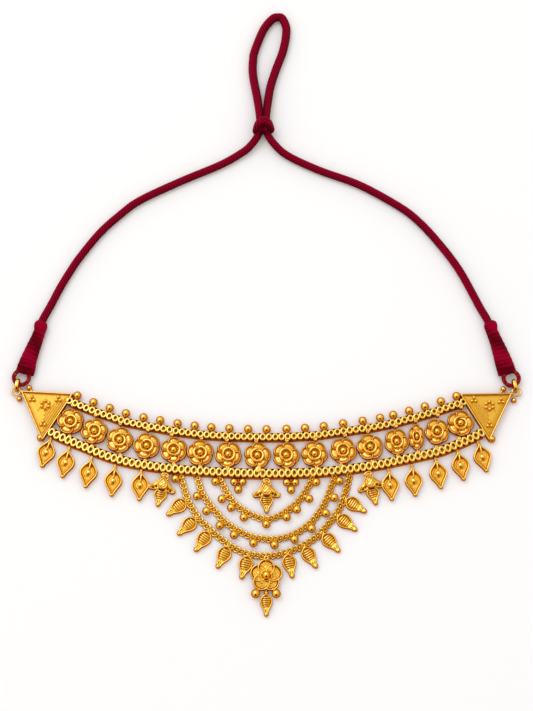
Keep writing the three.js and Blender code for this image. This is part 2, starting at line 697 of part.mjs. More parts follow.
CORD_ROUTES.forEach( ( run ) => add( run.name, cordRun( run ), red ) );
add( 'cord_knot', cordKnot(), red );

export default group;
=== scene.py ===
import bpy
import numpy as np
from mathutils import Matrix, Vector


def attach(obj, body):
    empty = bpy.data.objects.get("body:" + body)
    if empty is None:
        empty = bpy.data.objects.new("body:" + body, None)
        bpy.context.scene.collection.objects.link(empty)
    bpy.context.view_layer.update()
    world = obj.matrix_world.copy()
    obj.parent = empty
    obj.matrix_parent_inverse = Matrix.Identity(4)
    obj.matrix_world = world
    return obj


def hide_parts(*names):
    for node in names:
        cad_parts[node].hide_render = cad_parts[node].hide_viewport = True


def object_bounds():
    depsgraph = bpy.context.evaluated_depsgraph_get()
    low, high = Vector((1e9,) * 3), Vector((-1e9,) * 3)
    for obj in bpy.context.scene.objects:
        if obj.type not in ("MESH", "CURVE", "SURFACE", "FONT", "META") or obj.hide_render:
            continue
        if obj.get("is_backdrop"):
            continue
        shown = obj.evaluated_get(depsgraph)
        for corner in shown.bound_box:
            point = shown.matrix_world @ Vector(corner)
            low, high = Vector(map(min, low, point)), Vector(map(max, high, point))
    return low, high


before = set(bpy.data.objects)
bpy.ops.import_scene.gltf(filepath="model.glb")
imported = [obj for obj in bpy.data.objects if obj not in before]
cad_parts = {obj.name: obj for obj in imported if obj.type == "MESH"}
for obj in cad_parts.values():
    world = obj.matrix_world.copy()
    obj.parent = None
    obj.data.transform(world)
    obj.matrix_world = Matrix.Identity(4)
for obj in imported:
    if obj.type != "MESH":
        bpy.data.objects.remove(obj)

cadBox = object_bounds()
metre = 0.001  # sizes below are in millimetres, and go into the meshes in metres
chance = np.random.default_rng(12)
print("stage: frame loaded,", len(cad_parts), "nodes")

cameraSettings = dict(target=(0.07, 47.6, 0.0), distance=587.0, lean=17.0, lens=90.0, sensor=36.0, near=10.0)


def makeCamera(s):
    # the camera leans back from straight above by the given angle, towards the pendant's side
    lean = np.radians(s["lean"])
    place = Vector(s["target"]) + s["distance"] * Vector((0.0, -np.sin(lean), np.cos(lean)))
    data = bpy.data.cameras.new("camera")
    data.lens = s["lens"]
    data.sensor_width = s["sensor"]
    data.clip_start = s["near"] * metre
    camera = bpy.data.objects.new("camera", data)
    camera.location = place * metre
    camera.rotation_euler = (lean, 0.0, 0.0)
    bpy.context.scene.collection.objects.link(camera)
    bpy.context.scene.camera = camera


makeCamera(cameraSettings)


# lines: arrays of points, one row each

def smoothLine(points, closed=False, fine=24):
    # each stretch is a cubic whose end slopes are half the step between the two neighbours
    p = np.asarray(points, float)
    if p.shape[1] == 2:
        p = np.column_stack([p, np.zeros(len(p))])
    if closed:
        before, start, after, last = np.roll(p, 1, 0), p, np.roll(p, -1, 0), np.roll(p, -2, 0)
    else:
        longer = np.vstack([2 * p[0] - p[1], p, 2 * p[-1] - p[-2]])
        before, start, after, last = longer[:-3], longer[1:-2], longer[2:-1], longer[3:]
    t = np.linspace(0, 1, fine, endpoint=False)[None, :, None]
    b, s, a, l = (v[:, None, :] for v in (before, start, after, last))
    line = 0.5 * (2 * s + (a - b) * t + (2 * b - 5 * s + 4 * a - l) * t**2
                  + (3 * s - b - 3 * a + l) * t**3)
    return np.vstack([line.reshape(-1, 3), p[:1] if closed else p[-1:]])


def distances(line):
    # running length along a line
    return np.concatenate([[0.0], np.cumsum(np.linalg.norm(np.diff(line, axis=0), axis=1))])


def evenly(line, count, closed=False):
    # the same line with its points an equal distance apart
    run = distances(line)
    at = np.linspace(0, run[-1], count + 1)[:-1] if closed else np.linspace(0, run[-1], count)
    return np.column_stack([np.interp(at, run, line[:, i]) for i in range(line.shape[1])])


def smoothOutline(points, count):
    # a smooth closed outline on the flat, its points an equal distance apart
    return evenly(smoothLine(points, True)[:, :2], count, True)


def unit(v):
    # each direction over its own length
    return v / np.maximum(np.linalg.norm(v, axis=-1, keepdims=True), 1e-9)


def headings(line, closed=False):
    # direction at each point from its two neighbours
    if closed:
        return unit(np.roll(line, -1, 0) - np.roll(line, 1, 0))
    return unit(np.gradient(line, axis=0))


def sideAndUp(line, closed=False, axis=(0.0, 0.0, 1.0)):
    # side: square to the axis and the line, on its left; up: square to the line and the side
    along = headings(line, closed)
    side = unit(np.cross(axis, along))
    return side, np.cross(along, side)


def roundAngles(count):
    # equal steps once round
    return np.linspace(0, 2 * np.pi, count, endpoint=False)


def roundSection(sides, wide=1.0, high=1.0):
    # cosine and sine of equal steps, each times its half size
    a = roundAngles(sides)
    return np.column_stack([wide * np.cos(a), high * np.sin(a)])


def squared(points, power):
    # a power under 1 pushes a round section out towards a square one
    return np.sign(points) * np.abs(points) ** power


# shells: closed surfaces with their points, corners, uv and recess; recess is painted shade, 1 in deep
# grooves, which the materials turn darker, redder and duller

def surface(points, wrapRows=False, startPole=None, endPole=None, recess=0.0, v=None):
    # a grid of rows and columns, closed round its columns; its ends close on a pole each,
    # and it is turned right side out if its signed volume is negative
    rows, cols = points.shape[:2]
    index = np.arange(rows * cols).reshape(rows, cols)
    upper = index if wrapRows else index[:-1]
    lower = np.roll(index, -1, 0) if wrapRows else index[1:]
    quads = np.stack([upper, np.roll(upper, -1, 1), np.roll(lower, -1, 1), lower], -1).reshape(-1, 4)
    u = np.linspace(0, 1, cols + 1)
    v = np.linspace(0, 1, rows + 1) if v is None else v
    us = np.stack([u[:-1], u[1:], u[1:], u[:-1]], -1)
    vs = np.stack([v[:-1], v[:-1], v[1:], v[1:]], -1)[:len(upper)]
    quadUv = np.stack([np.broadcast_to(us[None], (len(upper), cols, 4)),
                       np.broadcast_to(vs[:, None], (len(upper), cols, 4))], -1).reshape(-1, 4, 2)
    recess = np.broadcast_to(recess, (rows, cols))
    flat, shade = [points.reshape(-1, 3)], [recess.ravel()]
    tris, triUv = [np.zeros((0, 3), int)], [np.zeros((0, 3, 2))]
    for pole, row, turn in ((startPole, 0, 1), (endPole, rows - 1, -1)):
        if pole is None:
            continue
        top = sum(len(f) for f in flat)
        tris.append(np.stack([np.full(cols, top), np.roll(index[row], -1), index[row]], -1)[:, ::turn])
        triUv.append(np.stack([np.stack([(u[:-1] + u[1:]) / 2, u[1:], u[:-1]], -1),
                               np.full((cols, 3), v[row])], -1)[:, ::turn])
        flat.append(np.asarray(pole, float).reshape(1, 3))
        shade.append(recess[row].mean(keepdims=True))
    points = np.vstack(flat)
    corners, uv = [quads, np.concatenate(tris)], [quadUv, np.concatenate(triUv)]
    a, b, c, d = (points[quads[:, i]] for i in range(4))
    e, f, g = (points[corners[1][:, i]] for i in range(3))
    volume = sum(np.einsum("ij,ij->", p, np.cross(q, r)) for p, q, r in ((a, b, c), (a, c, d), (e, f, g)))
    shell = dict(points=points, corners=corners, uv=uv, recess=np.concatenate(shade))
    return flipped(shell) if volume < 0 else shell


def flipped(shell):
    # the same faces, each gone round the other way
    return dict(shell, corners=[c[:, ::-1] for c in shell["corners"]], uv=[u[:, ::-1] for u in shell["uv"]])


def sweep(line, section, closed=False, size=1.0, recess=0.0, axis=(0.0, 0.0, 1.0)):
    # every point of the section is carried along the line on its side and up directions
    side, up = sideAndUp(line, closed, axis)
    size = np.asarray(size, float)
    size = size if size.ndim == 2 else np.broadcast_to(size, (len(line),))[:, None] * (1, 1)
    points = (line[:, None] + side[:, None] * (section[None, :, :1] * size[:, None, :1])
              + up[:, None] * (section[None, :, 1:] * size[:, None, 1:]))
    run = distances(line)
    recess = np.asarray(recess, float)
    recess = recess[:, None] if recess.ndim == 1 else recess
    ends = (None, None) if closed else (line[0], line[-1])
    return surface(points, closed, *ends, recess=recess, v=np.append(run, 2 * run[-1] - run[-2]))


def wire(points, radius, count=None, smooth=True):
    # a round wire along a line, both ends rounded off over one radius
    line = smoothLine(points) if smooth else np.asarray(points, float)
    line = evenly(line, count or max(4, int(distances(line)[-1] / (radius * 0.9))))
    run = distances(line)
    rest = np.clip(np.minimum(run, run[-1] - run) / radius, 0.02, 1)
    return sweep(line, roundSection(8, radius, radius), size=np.sqrt(np.clip(1 - (1 - rest) ** 2, 0.04, 1)))


def hoop(centre, radius, thick, around=16, across=8, stretch=(1.0, 1.0)):
    # a flat ring of round wire
    line = roundSection(around, radius * stretch[0], radius * stretch[1])
    line = np.column_stack([line, np.zeros(around)]) + centre
    return sweep(line, roundSection(across, thick, thick), True)


def spin(profile, around=24, centre=(0, 0, 0), recess=None):
    # a profile of (radius, height) turned round the upright axis; its ends lie on the axis
    profile = np.asarray(profile, float)
    inner = profile[1:-1, None]
    turn = np.broadcast_to(roundSection(around), (len(inner), around, 2))
    points = np.dstack([inner[..., :1] * turn, np.broadcast_to(inner[..., 1], turn.shape[:2])]) + centre
    poles = [np.array([0, 0, profile[i, 1]]) + centre for i in (0, -1)]
    shade = 0.0 if recess is None else np.asarray(recess, float)[1:-1, None]
    return surface(points, False, *poles, recess=shade)


def ball(centre, radius, around=22, down=12):
    # a sphere: rows at equal steps from pole to pole
    a = np.linspace(0, np.pi, down + 1)
    return spin(np.column_stack([np.sin(a), np.cos(a)]) * radius, around, centre)


def pebble(place, radius, stretch, around=16, down=10):
    # a ball stretched along X, Y and Z
    return moved(ball((0, 0, 0), radius, around, down), 0, place, stretch)


def relief(outline, hub, rows, dress=None):
    # each row, of (inset, share, height, recess), runs round the outline: it is moved inwards by its inset,
    # then that share of the way to the hub; recess is the row's painted shade; dress may raise or lower
    # single points and change their painted shade
    outline = np.asarray(outline, float)[:, :2]
    hub = np.asarray(hub, float)
    along = headings(outline, True)
    inward = np.column_stack([-along[:, 1], along[:, 0]])
    inward *= np.sign(np.einsum("ij,ij->", inward, hub - outline))
    rows = np.asarray(rows, float)
    base = outline[None] + inward[None] * rows[:, 0][:, None, None]
    flat = base + (hub - base) * rows[:, 1][:, None, None]
    points = np.dstack([flat, np.broadcast_to(rows[:, 2][:, None], flat.shape[:2])])
    shade = np.broadcast_to(rows[:, 3][:, None], flat.shape[:2]).copy()
    if dress:
        points, shade = dress(points, shade, rows)
    top = np.append(hub, points[-1, :, 2].mean())
    return surface(points, False, np.append(hub, rows[0, 2]), top, recess=shade)


def gather(shells):
    # several shells as one
    starts = np.cumsum([0] + [len(s["points"]) for s in shells[:-1]])
    return dict(
        points=np.vstack([s["points"] for s in shells]),
        corners=[np.vstack([s["corners"][k] + n for s, n in zip(shells, starts)]) for k in (0, 1)],
        uv=[np.vstack([s["uv"][k] for s in shells]) for k in (0, 1)],
        recess=np.concatenate([s["recess"] for s in shells]))


def moved(shell, turn=0.0, shift=(0, 0, 0), stretch=(1, 1, 1), roll=0.0, pitch=0.0):
    # stretched, rolled about Y, pitched about X, turned about Z, then moved; angles in degrees
    p = shell["points"] * np.asarray(stretch, float)
    for angle, i, j in ((roll, 2, 0), (pitch, 1, 2), (turn, 0, 1)):
        c, s = np.cos(np.radians(angle)), np.sin(np.radians(angle))
        p[:, i], p[:, j] = c * p[:, i] - s * p[:, j], s * p[:, i] + c * p[:, j]
    shell = dict(shell, points=p + np.asarray(shift, float))
    return flipped(shell) if np.prod(stretch) < 0 else shell


def shadeAllOver(shell, recess):
    # the same recess all over: painted shade over the whole shell, which also dulls its polish
    return dict(shell, recess=np.full(len(shell["points"]), recess))


def copies(shell, places, axes):
    # one shell set at many places; axes holds its X, Y and Z directions at each
    n, size = len(places), len(shell["points"])
    points = places[:, None] + np.einsum("pk,nkj->npj", shell["points"], axes)
    step = (np.arange(n) * size)[:, None, None]
    return dict(
        points=points.reshape(-1, 3),
        corners=[(c[None] + step).reshape(-1, c.shape[1]) for c in shell["corners"]],
        uv=[np.tile(u, (n, 1, 1)) for u in shell["uv"]],
        recess=np.tile(shell["recess"], n))


def flatAxes(angles):
    # X, Y and Z directions turned about Z by each angle in radians
    c, s, o, i = np.cos(angles), np.sin(angles), np.zeros(len(angles)), np.ones(len(angles))
    return np.stack([np.stack([c, s, o], -1), np.stack([-s, c, o], -1), np.stack([o, o, i], -1)], 1)


def manyBalls(centres, radii, around=22, down=14):
    # a ball at each centre, with its own radius
    radii = np.broadcast_to(np.asarray(radii, float), (len(centres),))
    one = ball((0, 0, 0), 1.0, around, down)
    return copies(one, np.asarray(centres, float), np.eye(3) * radii[:, None, None])


def ringOf(centre, radius, count):
    # places on a circle, the first one straight up from its centre
    a = np.pi / 2 + np.arange(count) * 2 * np.pi / count
    return [(centre[0] + radius * np.cos(t), centre[1] + radius * np.sin(t)) for t in a]


def roundedTab(x, y, width, length, bottom, top, turn=0.0):
    # a small plate with round corners and soft edges, its sides painted in shade
    plan = squared(roundSection(20), 0.45) * (width / 2, length / 2)
    rows = [(0.05, 0, bottom, 0.4), (0, 0, bottom + 0.1, 0.4), (0, 0, top - 0.2, 0.1),
            (0.08, 0, top - 0.05, 0), (0.22, 0, top, 0), (0.2, 0.5, top - 0.02, 0)]
    return moved(relief(plan, (0, 0), rows), turn, (x, y, 0))


# materials: groups for what several of them use, then each finish

def newGroup(name, inputs, outputs):
    # a group with an input for each value, a colour or a number, and an output for each kind
    tree = bpy.data.node_groups.new(name, "ShaderNodeTree")
    for label, value in inputs.items():
        kind = "NodeSocketFloat" if isinstance(value, float) else "NodeSocketColor"
        tree.interface.new_socket(label, in_out="INPUT", socket_type=kind).default_value = value
    for label, kind in outputs.items():
        tree.interface.new_socket(label, in_out="OUTPUT", socket_type="NodeSocket" + kind)
    return tree, tree.nodes.new("NodeGroupInput").outputs, tree.nodes.new("NodeGroupOutput").inputs


def node(tree, kind, links=(), **values):
    # one node with its settings, and its inputs linked or set: links holds (input, source) pairs
    made = tree.nodes.new(kind)
    for key, value in values.items():
        setattr(made, key, value)
    for socket, source in links:
        if isinstance(source, bpy.types.NodeSocket):
            tree.links.new(source, made.inputs[socket])
        else:
            made.inputs[socket].default_value = source
    return made


def maths(tree, operation, *terms, **values):
    # one step of arithmetic on its terms
    return node(tree, "ShaderNodeMath", enumerate(terms), operation=operation, **values).outputs[0]


def blendColours(tree, share, first, second):
    # from the first colour to the second by the share
    return node(tree, "ShaderNodeMix", [(0, share), (6, first), (7, second)], data_type="RGBA").outputs[2]


def mapped(tree, value, fromMin=0.0, fromMax=1.0, toMin=0.0, toMax=1.0, **values):
    # the value's range, stretched onto another one
    return node(tree, "ShaderNodeMapRange", [("Value", value), ("From Min", fromMin), ("From Max", fromMax),
                                             ("To Min", toMin), ("To Max", toMax)], **values).outputs[0]


def noise(tree, place, scale, detail):
    # cloudy noise with so many spots to a metre
    return node(tree, "ShaderNodeTexNoise", [("Vector", place), ("Scale", scale),
                                             ("Detail", detail)]).outputs["Fac"]


def bumps(tree, height, strength, distance, *under):
    # the normal that a height gives, on top of another one if it is named
    return node(tree, "ShaderNodeBump", [("Height", height), ("Strength", strength), ("Distance", distance),
                                         *under]).outputs["Normal"]


def newMaterial(name):
    # a material, its nodes and its shader's inputs
    material = bpy.data.materials.new(name)
    material.use_nodes = True
    return material, material.node_tree, material.node_tree.nodes["Principled BSDF"].inputs


goldSettings = dict(
    tint=(1.0, 0.5, 0.08, 1),  # its colour at grazing angles
    speckSize=900.0, speckMiddle=0.45, grainDepth=0.00002)


def makeGoldTone(s):
    # recess paints shade into the gold, blending it towards the deep colour, darker and redder, and dulls
    # its polish; slow noise mottles it
    tree, given, result = newGroup(
        "gold tone",
        {"Bright": (0.9, 0.55, 0.1, 1), "Deep": (0.3, 0.08, 0.01, 1), "Mottle": 0.1, "Polish": 0.2,
         "Dull": 0.45},
        {"Colour": "Color", "Roughness": "Float"})
    place = node(tree, "ShaderNodeTexCoord").outputs["Object"]
    recess = node(tree, "ShaderNodeAttribute", attribute_name="recess").outputs["Fac"]
    speck = maths(tree, "SUBTRACT", noise(tree, place, s["speckSize"], 3.0), s["speckMiddle"])
    share = maths(tree, "ADD", recess, maths(tree, "MULTIPLY", speck, given["Mottle"]), use_clamp=True)
    tree.links.new(blendColours(tree, share, given["Bright"], given["Deep"]), result["Colour"])
    tree.links.new(mapped(tree, share, toMin=given["Polish"], toMax=given["Dull"]), result["Roughness"])
    return tree


def makeFineGrain():
    # height of a cast surface: fine noise over slow waves
    tree, given, result = newGroup(
        "fine grain", {"Grain size": 5000.0, "Wave size": 1200.0, "Wave share": 0.5}, {"Height": "Float"})
    place = node(tree, "ShaderNodeTexCoord").outputs["Object"]
    slow = maths(tree, "MULTIPLY", noise(tree, place, given["Wave size"], 1.0), given["Wave share"])
    height = maths(tree, "ADD", noise(tree, place, given["Grain size"], 2.0), slow)
    tree.links.new(height, result["Height"])
    return tree


def makeThreadPattern():
    # two crossing sets of slanted ridges over the piece's own length and girth, with fibres along them
    tree, given, result = newGroup(
        "thread pattern", {"Turns": 8.0, "Pitch": 1.0, "Cross": 1.0, "Fibre": 0.5},
        {"Height": "Float", "Fleck": "Float"})
    uv = node(tree, "ShaderNodeUVMap", uv_map="UVMap").outputs["UV"]
    split = node(tree, "ShaderNodeSeparateXYZ", [(0, uv)]).outputs
    girth = maths(tree, "MULTIPLY", split["X"], given["Turns"])
    run = maths(tree, "DIVIDE", split["Y"], given["Pitch"])
    ridges = []
    for sign in ("ADD", "SUBTRACT"):
        wave = maths(tree, "SINE", maths(tree, "MULTIPLY", maths(tree, sign, run, girth), 2 * np.pi))
        ridges.append(maths(tree, "MULTIPLY_ADD", wave, 0.5, 0.5))
    both = maths(tree, "MAXIMUM", ridges[0], maths(tree, "MULTIPLY", ridges[1], given["Cross"]))
    slower = maths(tree, "MULTIPLY", run, 0.8)
    hair = noise(tree, node(tree, "ShaderNodeCombineXYZ", [(0, girth), (1, slower)]).outputs[0], 3.0, 4.0)
    tree.links.new(maths(tree, "ADD", both, maths(tree, "MULTIPLY", hair, given["Fibre"])), result["Height"])
    tree.links.new(hair, result["Fleck"])
    return tree


goldTone, fineGrain, threadPattern = makeGoldTone(goldSettings), makeFineGrain(), makeThreadPattern()


def makeGold(name, bright, deep, polish, dull, mottle, grain):
    # metal from bright to deep, its painted shade, and from polish to dull by the tone, with a fine cast
    # grain
    material, tree, shader = newMaterial(name)
    tone = node(tree, "ShaderNodeGroup", [("Bright", (*bright, 1)), ("Deep", (*deep, 1)), ("Mottle", mottle),
                                          ("Polish", polish), ("Dull", dull)], node_tree=goldTone).outputs
    height = node(tree, "ShaderNodeGroup", node_tree=fineGrain).outputs["Height"]
    tree.links.new(tone["Colour"], shader["Base Color"])
    tree.links.new(tone["Roughness"], shader["Roughness"])
    tree.links.new(bumps(tree, height, grain, goldSettings["grainDepth"]), shader["Normal"])
    shader["Metallic"].default_value = 1.0
    shader["Specular Tint"].default_value = goldSettings["tint"]
    return material


# the second colour of each gold is its painted shade, darker and redder, for grooves and other shaded places
warmShade = (0.56, 0.15, 0.002)  # what most golds turn to in their grooves
polishedGold = makeGold("polished gold", (0.98, 0.68, 0.15), warmShade, 0.12, 0.4, mottle=0.1, grain=0.04)
satinGold = makeGold("satin gold", (0.97, 0.66, 0.12), (0.6, 0.17, 0.003), 0.22, 0.5, mottle=0.3, grain=0.16)
chainGold = makeGold("chain gold", (0.93, 0.62, 0.12), (0.48, 0.13, 0.001), 0.2, 0.5, mottle=0.45, grain=0.2)
leafGold = makeGold("leaf gold", (0.94, 0.62, 0.08), warmShade, 0.24, 0.5, mottle=0.25, grain=0.14)
swagGold = makeGold("swag gold", (0.99, 0.7, 0.13), (0.5, 0.13, 0.002), 0.18, 0.5, mottle=0.25, grain=0.14)
bandGold = makeGold("band gold", (0.97, 0.6, 0.08), (0.25, 0.04, 0.0), 0.5, 0.6, mottle=0.25, grain=0.2)
plateGold = makeGold("plate gold", (0.8, 0.49, 0.055), warmShade, 0.46, 0.6, mottle=0.4, grain=0.2)
scratches = dict(slant=0.9, narrow=6, scale=700.0, strength=0.5, depth=0.00008)


def scratch(material, s):
    # fine slanted scratches: noise squeezed across its slant, laid over the grain
    tree = material.node_tree
    normal = tree.nodes["Principled BSDF"].inputs["Normal"]
    place = node(tree, "ShaderNodeTexCoord").outputs["Object"]
    slant = node(tree, "ShaderNodeMapping", [("Vector", place), ("Rotation", (0, 0, s["slant"])),
                                             ("Scale", (1, s["narrow"], 1))]).outputs[0]
    lines = noise(tree, slant, s["scale"], 3.0)
    under = ("Normal", normal.links[0].from_socket)
    tree.links.new(bumps(tree, lines, s["strength"], s["depth"], under), normal)


scratch(plateGold, scratches)


silkSettings = dict(
    # the first colour is the near-black painted shade that recess takes the silk to
    hollow=(0.02, 0, 0.001, 1), ridgeRange=(0.4, 1.25), fleckRange=(0.58, 0.68), bump=0.6,
    surface={"Sheen Roughness": 0.4, "Sheen Tint": (1.0, 0.2, 0.25, 1), "Specular IOR Level": 0.15,
             "Specular Tint": (1.0, 0.1, 0.15, 1)})


def makeSilk(name, light, dark, turns, pitch, cross, depth, rough=0.75, sheen=0.12, fleck=None):
    # thread ridges run from the dark colour, painted shade in the valleys between them, to the light one on
    # their tops, and recess paints shade that takes them to near black
    material, tree, shader = newMaterial(name)
    pattern = node(tree, "ShaderNodeGroup", [("Turns", turns), ("Pitch", pitch), ("Cross", cross)],
                   node_tree=threadPattern).outputs
    s, height = silkSettings, pattern["Height"]
    colour = blendColours(tree, mapped(tree, height, *s["ridgeRange"]), (*dark, 1), (*light, 1))
    hollow = node(tree, "ShaderNodeAttribute", attribute_name="recess").outputs["Fac"]
    colour = blendColours(tree, hollow, colour, s["hollow"])
    if fleck:
        colour = blendColours(tree, mapped(tree, pattern["Fleck"], *s["fleckRange"]), colour, (*fleck, 1))
    tree.links.new(colour, shader["Base Color"])
    tree.links.new(bumps(tree, height, s["bump"], depth), shader["Normal"])
    for label, value in {"Roughness": rough, "Sheen Weight": sheen, **s["surface"]}.items():
        shader[label].default_value = value
    return material


cordSilk = makeSilk("cord silk", (0.36, 0.0, 0.025), (0.06, 0.0, 0.003), 7.0, 1.1, 0.6, 0.00035)
wrapSilk = makeSilk("wrap silk", (0.29, 0.0, 0.019), (0.09, 0.0, 0.004), 1.0, 0.42, 0.0, 0.00015)
ringSilk = makeSilk("ring silk", (0.36, 0.006, 0.012), (0.12, 0.0, 0.003), 1.0, 0.36, 0.0, 0.0001,
                    rough=0.5, sheen=0.1, fleck=(0.6, 0.2, 0.05))
print("stage: materials made")


def makePiece(name, shells, nodes, materials, sharp=None):
    # shells are grouped by material: a list of lists, in the order of the materials
    groups = [gather(group) for group in shells]
    whole = gather(groups)
    finish = [np.repeat(np.arange(len(groups)), [len(g["corners"][k]) for g in groups]) for k in (0, 1)]
    mesh = bpy.data.meshes.new(name)
    mesh.vertices.add(len(whole["points"]))
    mesh.vertices.foreach_set("co", (whole["points"] * metre).ravel())
    loops = np.concatenate([c.ravel() for c in whole["corners"]])
    counts = np.concatenate([np.full(len(c), c.shape[1]) for c in whole["corners"]])
    mesh.loops.add(len(loops))
    mesh.loops.foreach_set("vertex_index", loops)
    mesh.polygons.add(len(counts))
    mesh.polygons.foreach_set("loop_start", np.cumsum(counts) - counts)
    mesh.polygons.foreach_set("material_index", np.concatenate(finish))
    layer = mesh.uv_layers.new(name="UVMap")
    layer.uv.foreach_set("vector", np.concatenate([u.ravel() for u in whole["uv"]]))
    depth = mesh.attributes.new("recess", "FLOAT", "POINT")
    depth.data.foreach_set("value", whole["recess"])
    mesh.update(calc_edges=True)
    mesh.shade_smooth()
    if sharp:
        mesh.set_sharp_from_angle(angle=np.radians(sharp))
    for material in materials:
        mesh.materials.append(material)
    piece = bpy.data.objects.new(name, mesh)
    bpy.context.scene.collection.objects.link(piece)
    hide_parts(*nodes)
    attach(piece, "root")
    return piece


def makeEach(name, nodeName, groups, places, materials):
    # one design, grouped by material, turned and set at each place of (x, y, lean)
    for i, (x, y, lean) in enumerate(places):
        shells = [[moved(g, lean, (x, y, 0)) for g in group] for group in groups]
        makePiece(f"{name}.{i + 1:02d}", shells, [f"{nodeName}_{i + 1:02d}"], materials)


# the cord: one length from the left winding, through the knot, round the loop and back

cordSettings = dict(
    diameter=2.6, loopDiameter=2.9, sides=18, steps=560, exit=(-73.8, 60.2, 1.4),
    swellFrom=128, swellOver=12,  # where the cord starts to fatten towards its loop, and over what length
    # parting, underKnot and lowerSide place the cord's painted shade, each with how dark it gets
    parting=dict(x=-0.9, half=0.6, low=128, rise=2, high=146, fall=8, paintedShade=0.8),
    underKnot=dict(x=-0.95, y=126.0, wide=3.0, high=1.2, paintedShade=0.85),
    lowerSide=dict(towards=(0.6, -0.8), reach=1.4, paintedShade=0.75), mostPaintedShade=0.9,
    route=[
        (-75.3, 56.4, 1.6), (-73.8, 60.2, 1.4), (-71.8, 64.2, 1.3), (-68.7, 70.8, 1.3), (-65.6, 76.5, 1.3),
        (-62.4, 81.7, 1.3), (-56, 90.3, 1.3), (-49.4, 96.8, 1.3), (-42.7, 102.1, 1.3),
        (-29.3, 108.9, 1.3), (-15.8, 115, 1.3), (-9, 119, 1.5), (-5.4, 121.9, 1.9),
        (-2.5, 126.3, 2.8), (-2.2, 131.6, 2.8), (-3.0, 138.9, 1.9), (-4.6, 148.5, 1.4),
        (-4.6, 154.4, 1.3), (-3.9, 158.2, 1.3), (-1, 165.9, 1.3), (2.1, 170.1, 1.3),
        (3.9, 170.8, 1.3), (5.6, 170.3, 1.3), (7, 165.9, 1.3), (5.9, 158.2, 1.3),
        (3.3, 150.5, 1.4), (1.2, 142.8, 1.7), (-0.1, 131.6, 2.8), (0.2, 126.3, 2.8), (3.5, 121.6, 1.9),
        (8.1, 117.9, 1.5), (18.2, 113, 1.3), (31.8, 107.6, 1.3), (45.1, 99.7, 1.3),
        (51.8, 94, 1.3), (58.3, 86.2, 1.3), (64.7, 76.7, 1.3), (70.9, 64, 1.3), (72.9, 60.2, 1.4),
        (74.4, 56.4, 1.6),
    ])


def cordLine(s):
    # the smoothed route in even steps
    return evenly(smoothLine(s["route"]), s["steps"])


def makeCord(s):
    # a round section carried along the route, a little fatter in the slack loop; shade is painted below
    # the knot, where the strands part above it, and along the side turned to the lower right
    line = cordLine(s)
    inLoop = np.clip((line[:, 1] - s["swellFrom"]) / s["swellOver"], 0, 1)
    radius = (s["diameter"] + (s["loopDiameter"] - s["diameter"]) * inLoop) / 2
    line[:, 2] += radius - s["diameter"] / 2
    section = roundSection(s["sides"])
    side = sideAndUp(line)[0][:, :2]
    away = side[:, None] * section[None, :, :1] * radius[:, None, None]
    x, y = np.moveaxis(line[:, None, :2] + away, -1, 0)
    parting, knot, lower = s["parting"], s["underKnot"], s["lowerSide"]
    between = (np.clip((parting["high"] - y) / parting["fall"], 0, 1)
               * np.clip((y - parting["low"]) / parting["rise"], 0, 1)
               * np.exp(-((x - parting["x"]) / parting["half"]) ** 2))
    under = np.exp(-((y - knot["y"]) / knot["high"]) ** 2 - ((x - knot["x"]) / knot["wide"]) ** 2)
    outward = side * np.sign(side @ lower["towards"])[:, None]
    low = np.clip((away @ outward[:, :, None])[..., 0] / lower["reach"], 0, 1) ** 2
    paintedShade = parting["paintedShade"] * between + knot["paintedShade"] * under + lower["paintedShade"] * low
    return sweep(line, section, size=radius, recess=np.clip(paintedShade, 0, s["mostPaintedShade"]))


knotSettings = dict(
    centre=(-0.95, 128.6, 3.05), half=(2.42, 1.78), strand=1.27, pitch=0.95, arch=2.1, turns=2.0, flare=0.06,
    steps=140, sides=18, fade=8, lip=1.1, patches=0.2, mostPaintedShade=0.85)


def makeKnot(s):
    # two turns round both strands, higher in the middle of the front than at the sides; shade is
    # painted along its lower lip, and it is darker in a few slow patches
    a = np.linspace(-np.pi, np.pi * (2 * s["turns"] - 1), s["steps"])
    front = np.clip(np.cos(a), 0, 1) ** 1.5
    line = s["centre"] + np.column_stack([
        s["half"][0] * np.sin(a) * (1 + s["flare"] * np.cos(a / 2)),
        s["arch"] * (front - 0.45) + s["pitch"] * (a - np.pi * (s["turns"] - 1)) / (2 * np.pi),
        s["half"][1] * np.cos(a)])
    steps = np.arange(s["steps"])
    fade = np.clip(np.minimum(steps, steps[::-1]) / s["fade"], 0.3, 1)
    axis, section = (0.0, -1.0, 0.0), roundSection(s["sides"])
    side, up = sideAndUp(line, axis=axis)
    rise = (side[:, 1:2] * section[:, 0] + up[:, 1:2] * section[:, 1]) * fade[:, None]
    paintedShade = s["lip"] * np.clip(-rise - 0.1, 0, 1)
    paintedShade += s["patches"] * np.clip(np.sin(a * 5)[:, None] * np.cos(rise * 4), 0, 1)
    return sweep(line, section, size=fade * s["strand"], recess=np.clip(paintedShade, 0, s["mostPaintedShade"]), axis=axis)


cordPiece = makePiece("silkCord", [[makeCord(cordSettings)]], ["cord_left", "cord_loop", "cord_right"],
                      [cordSilk])
knotPiece = makePiece("silkKnot", [[makeKnot(knotSettings)]], ["cord_knot"], [cordSilk])
print("stage: cord laid")


# thread windings and the rings that they hold

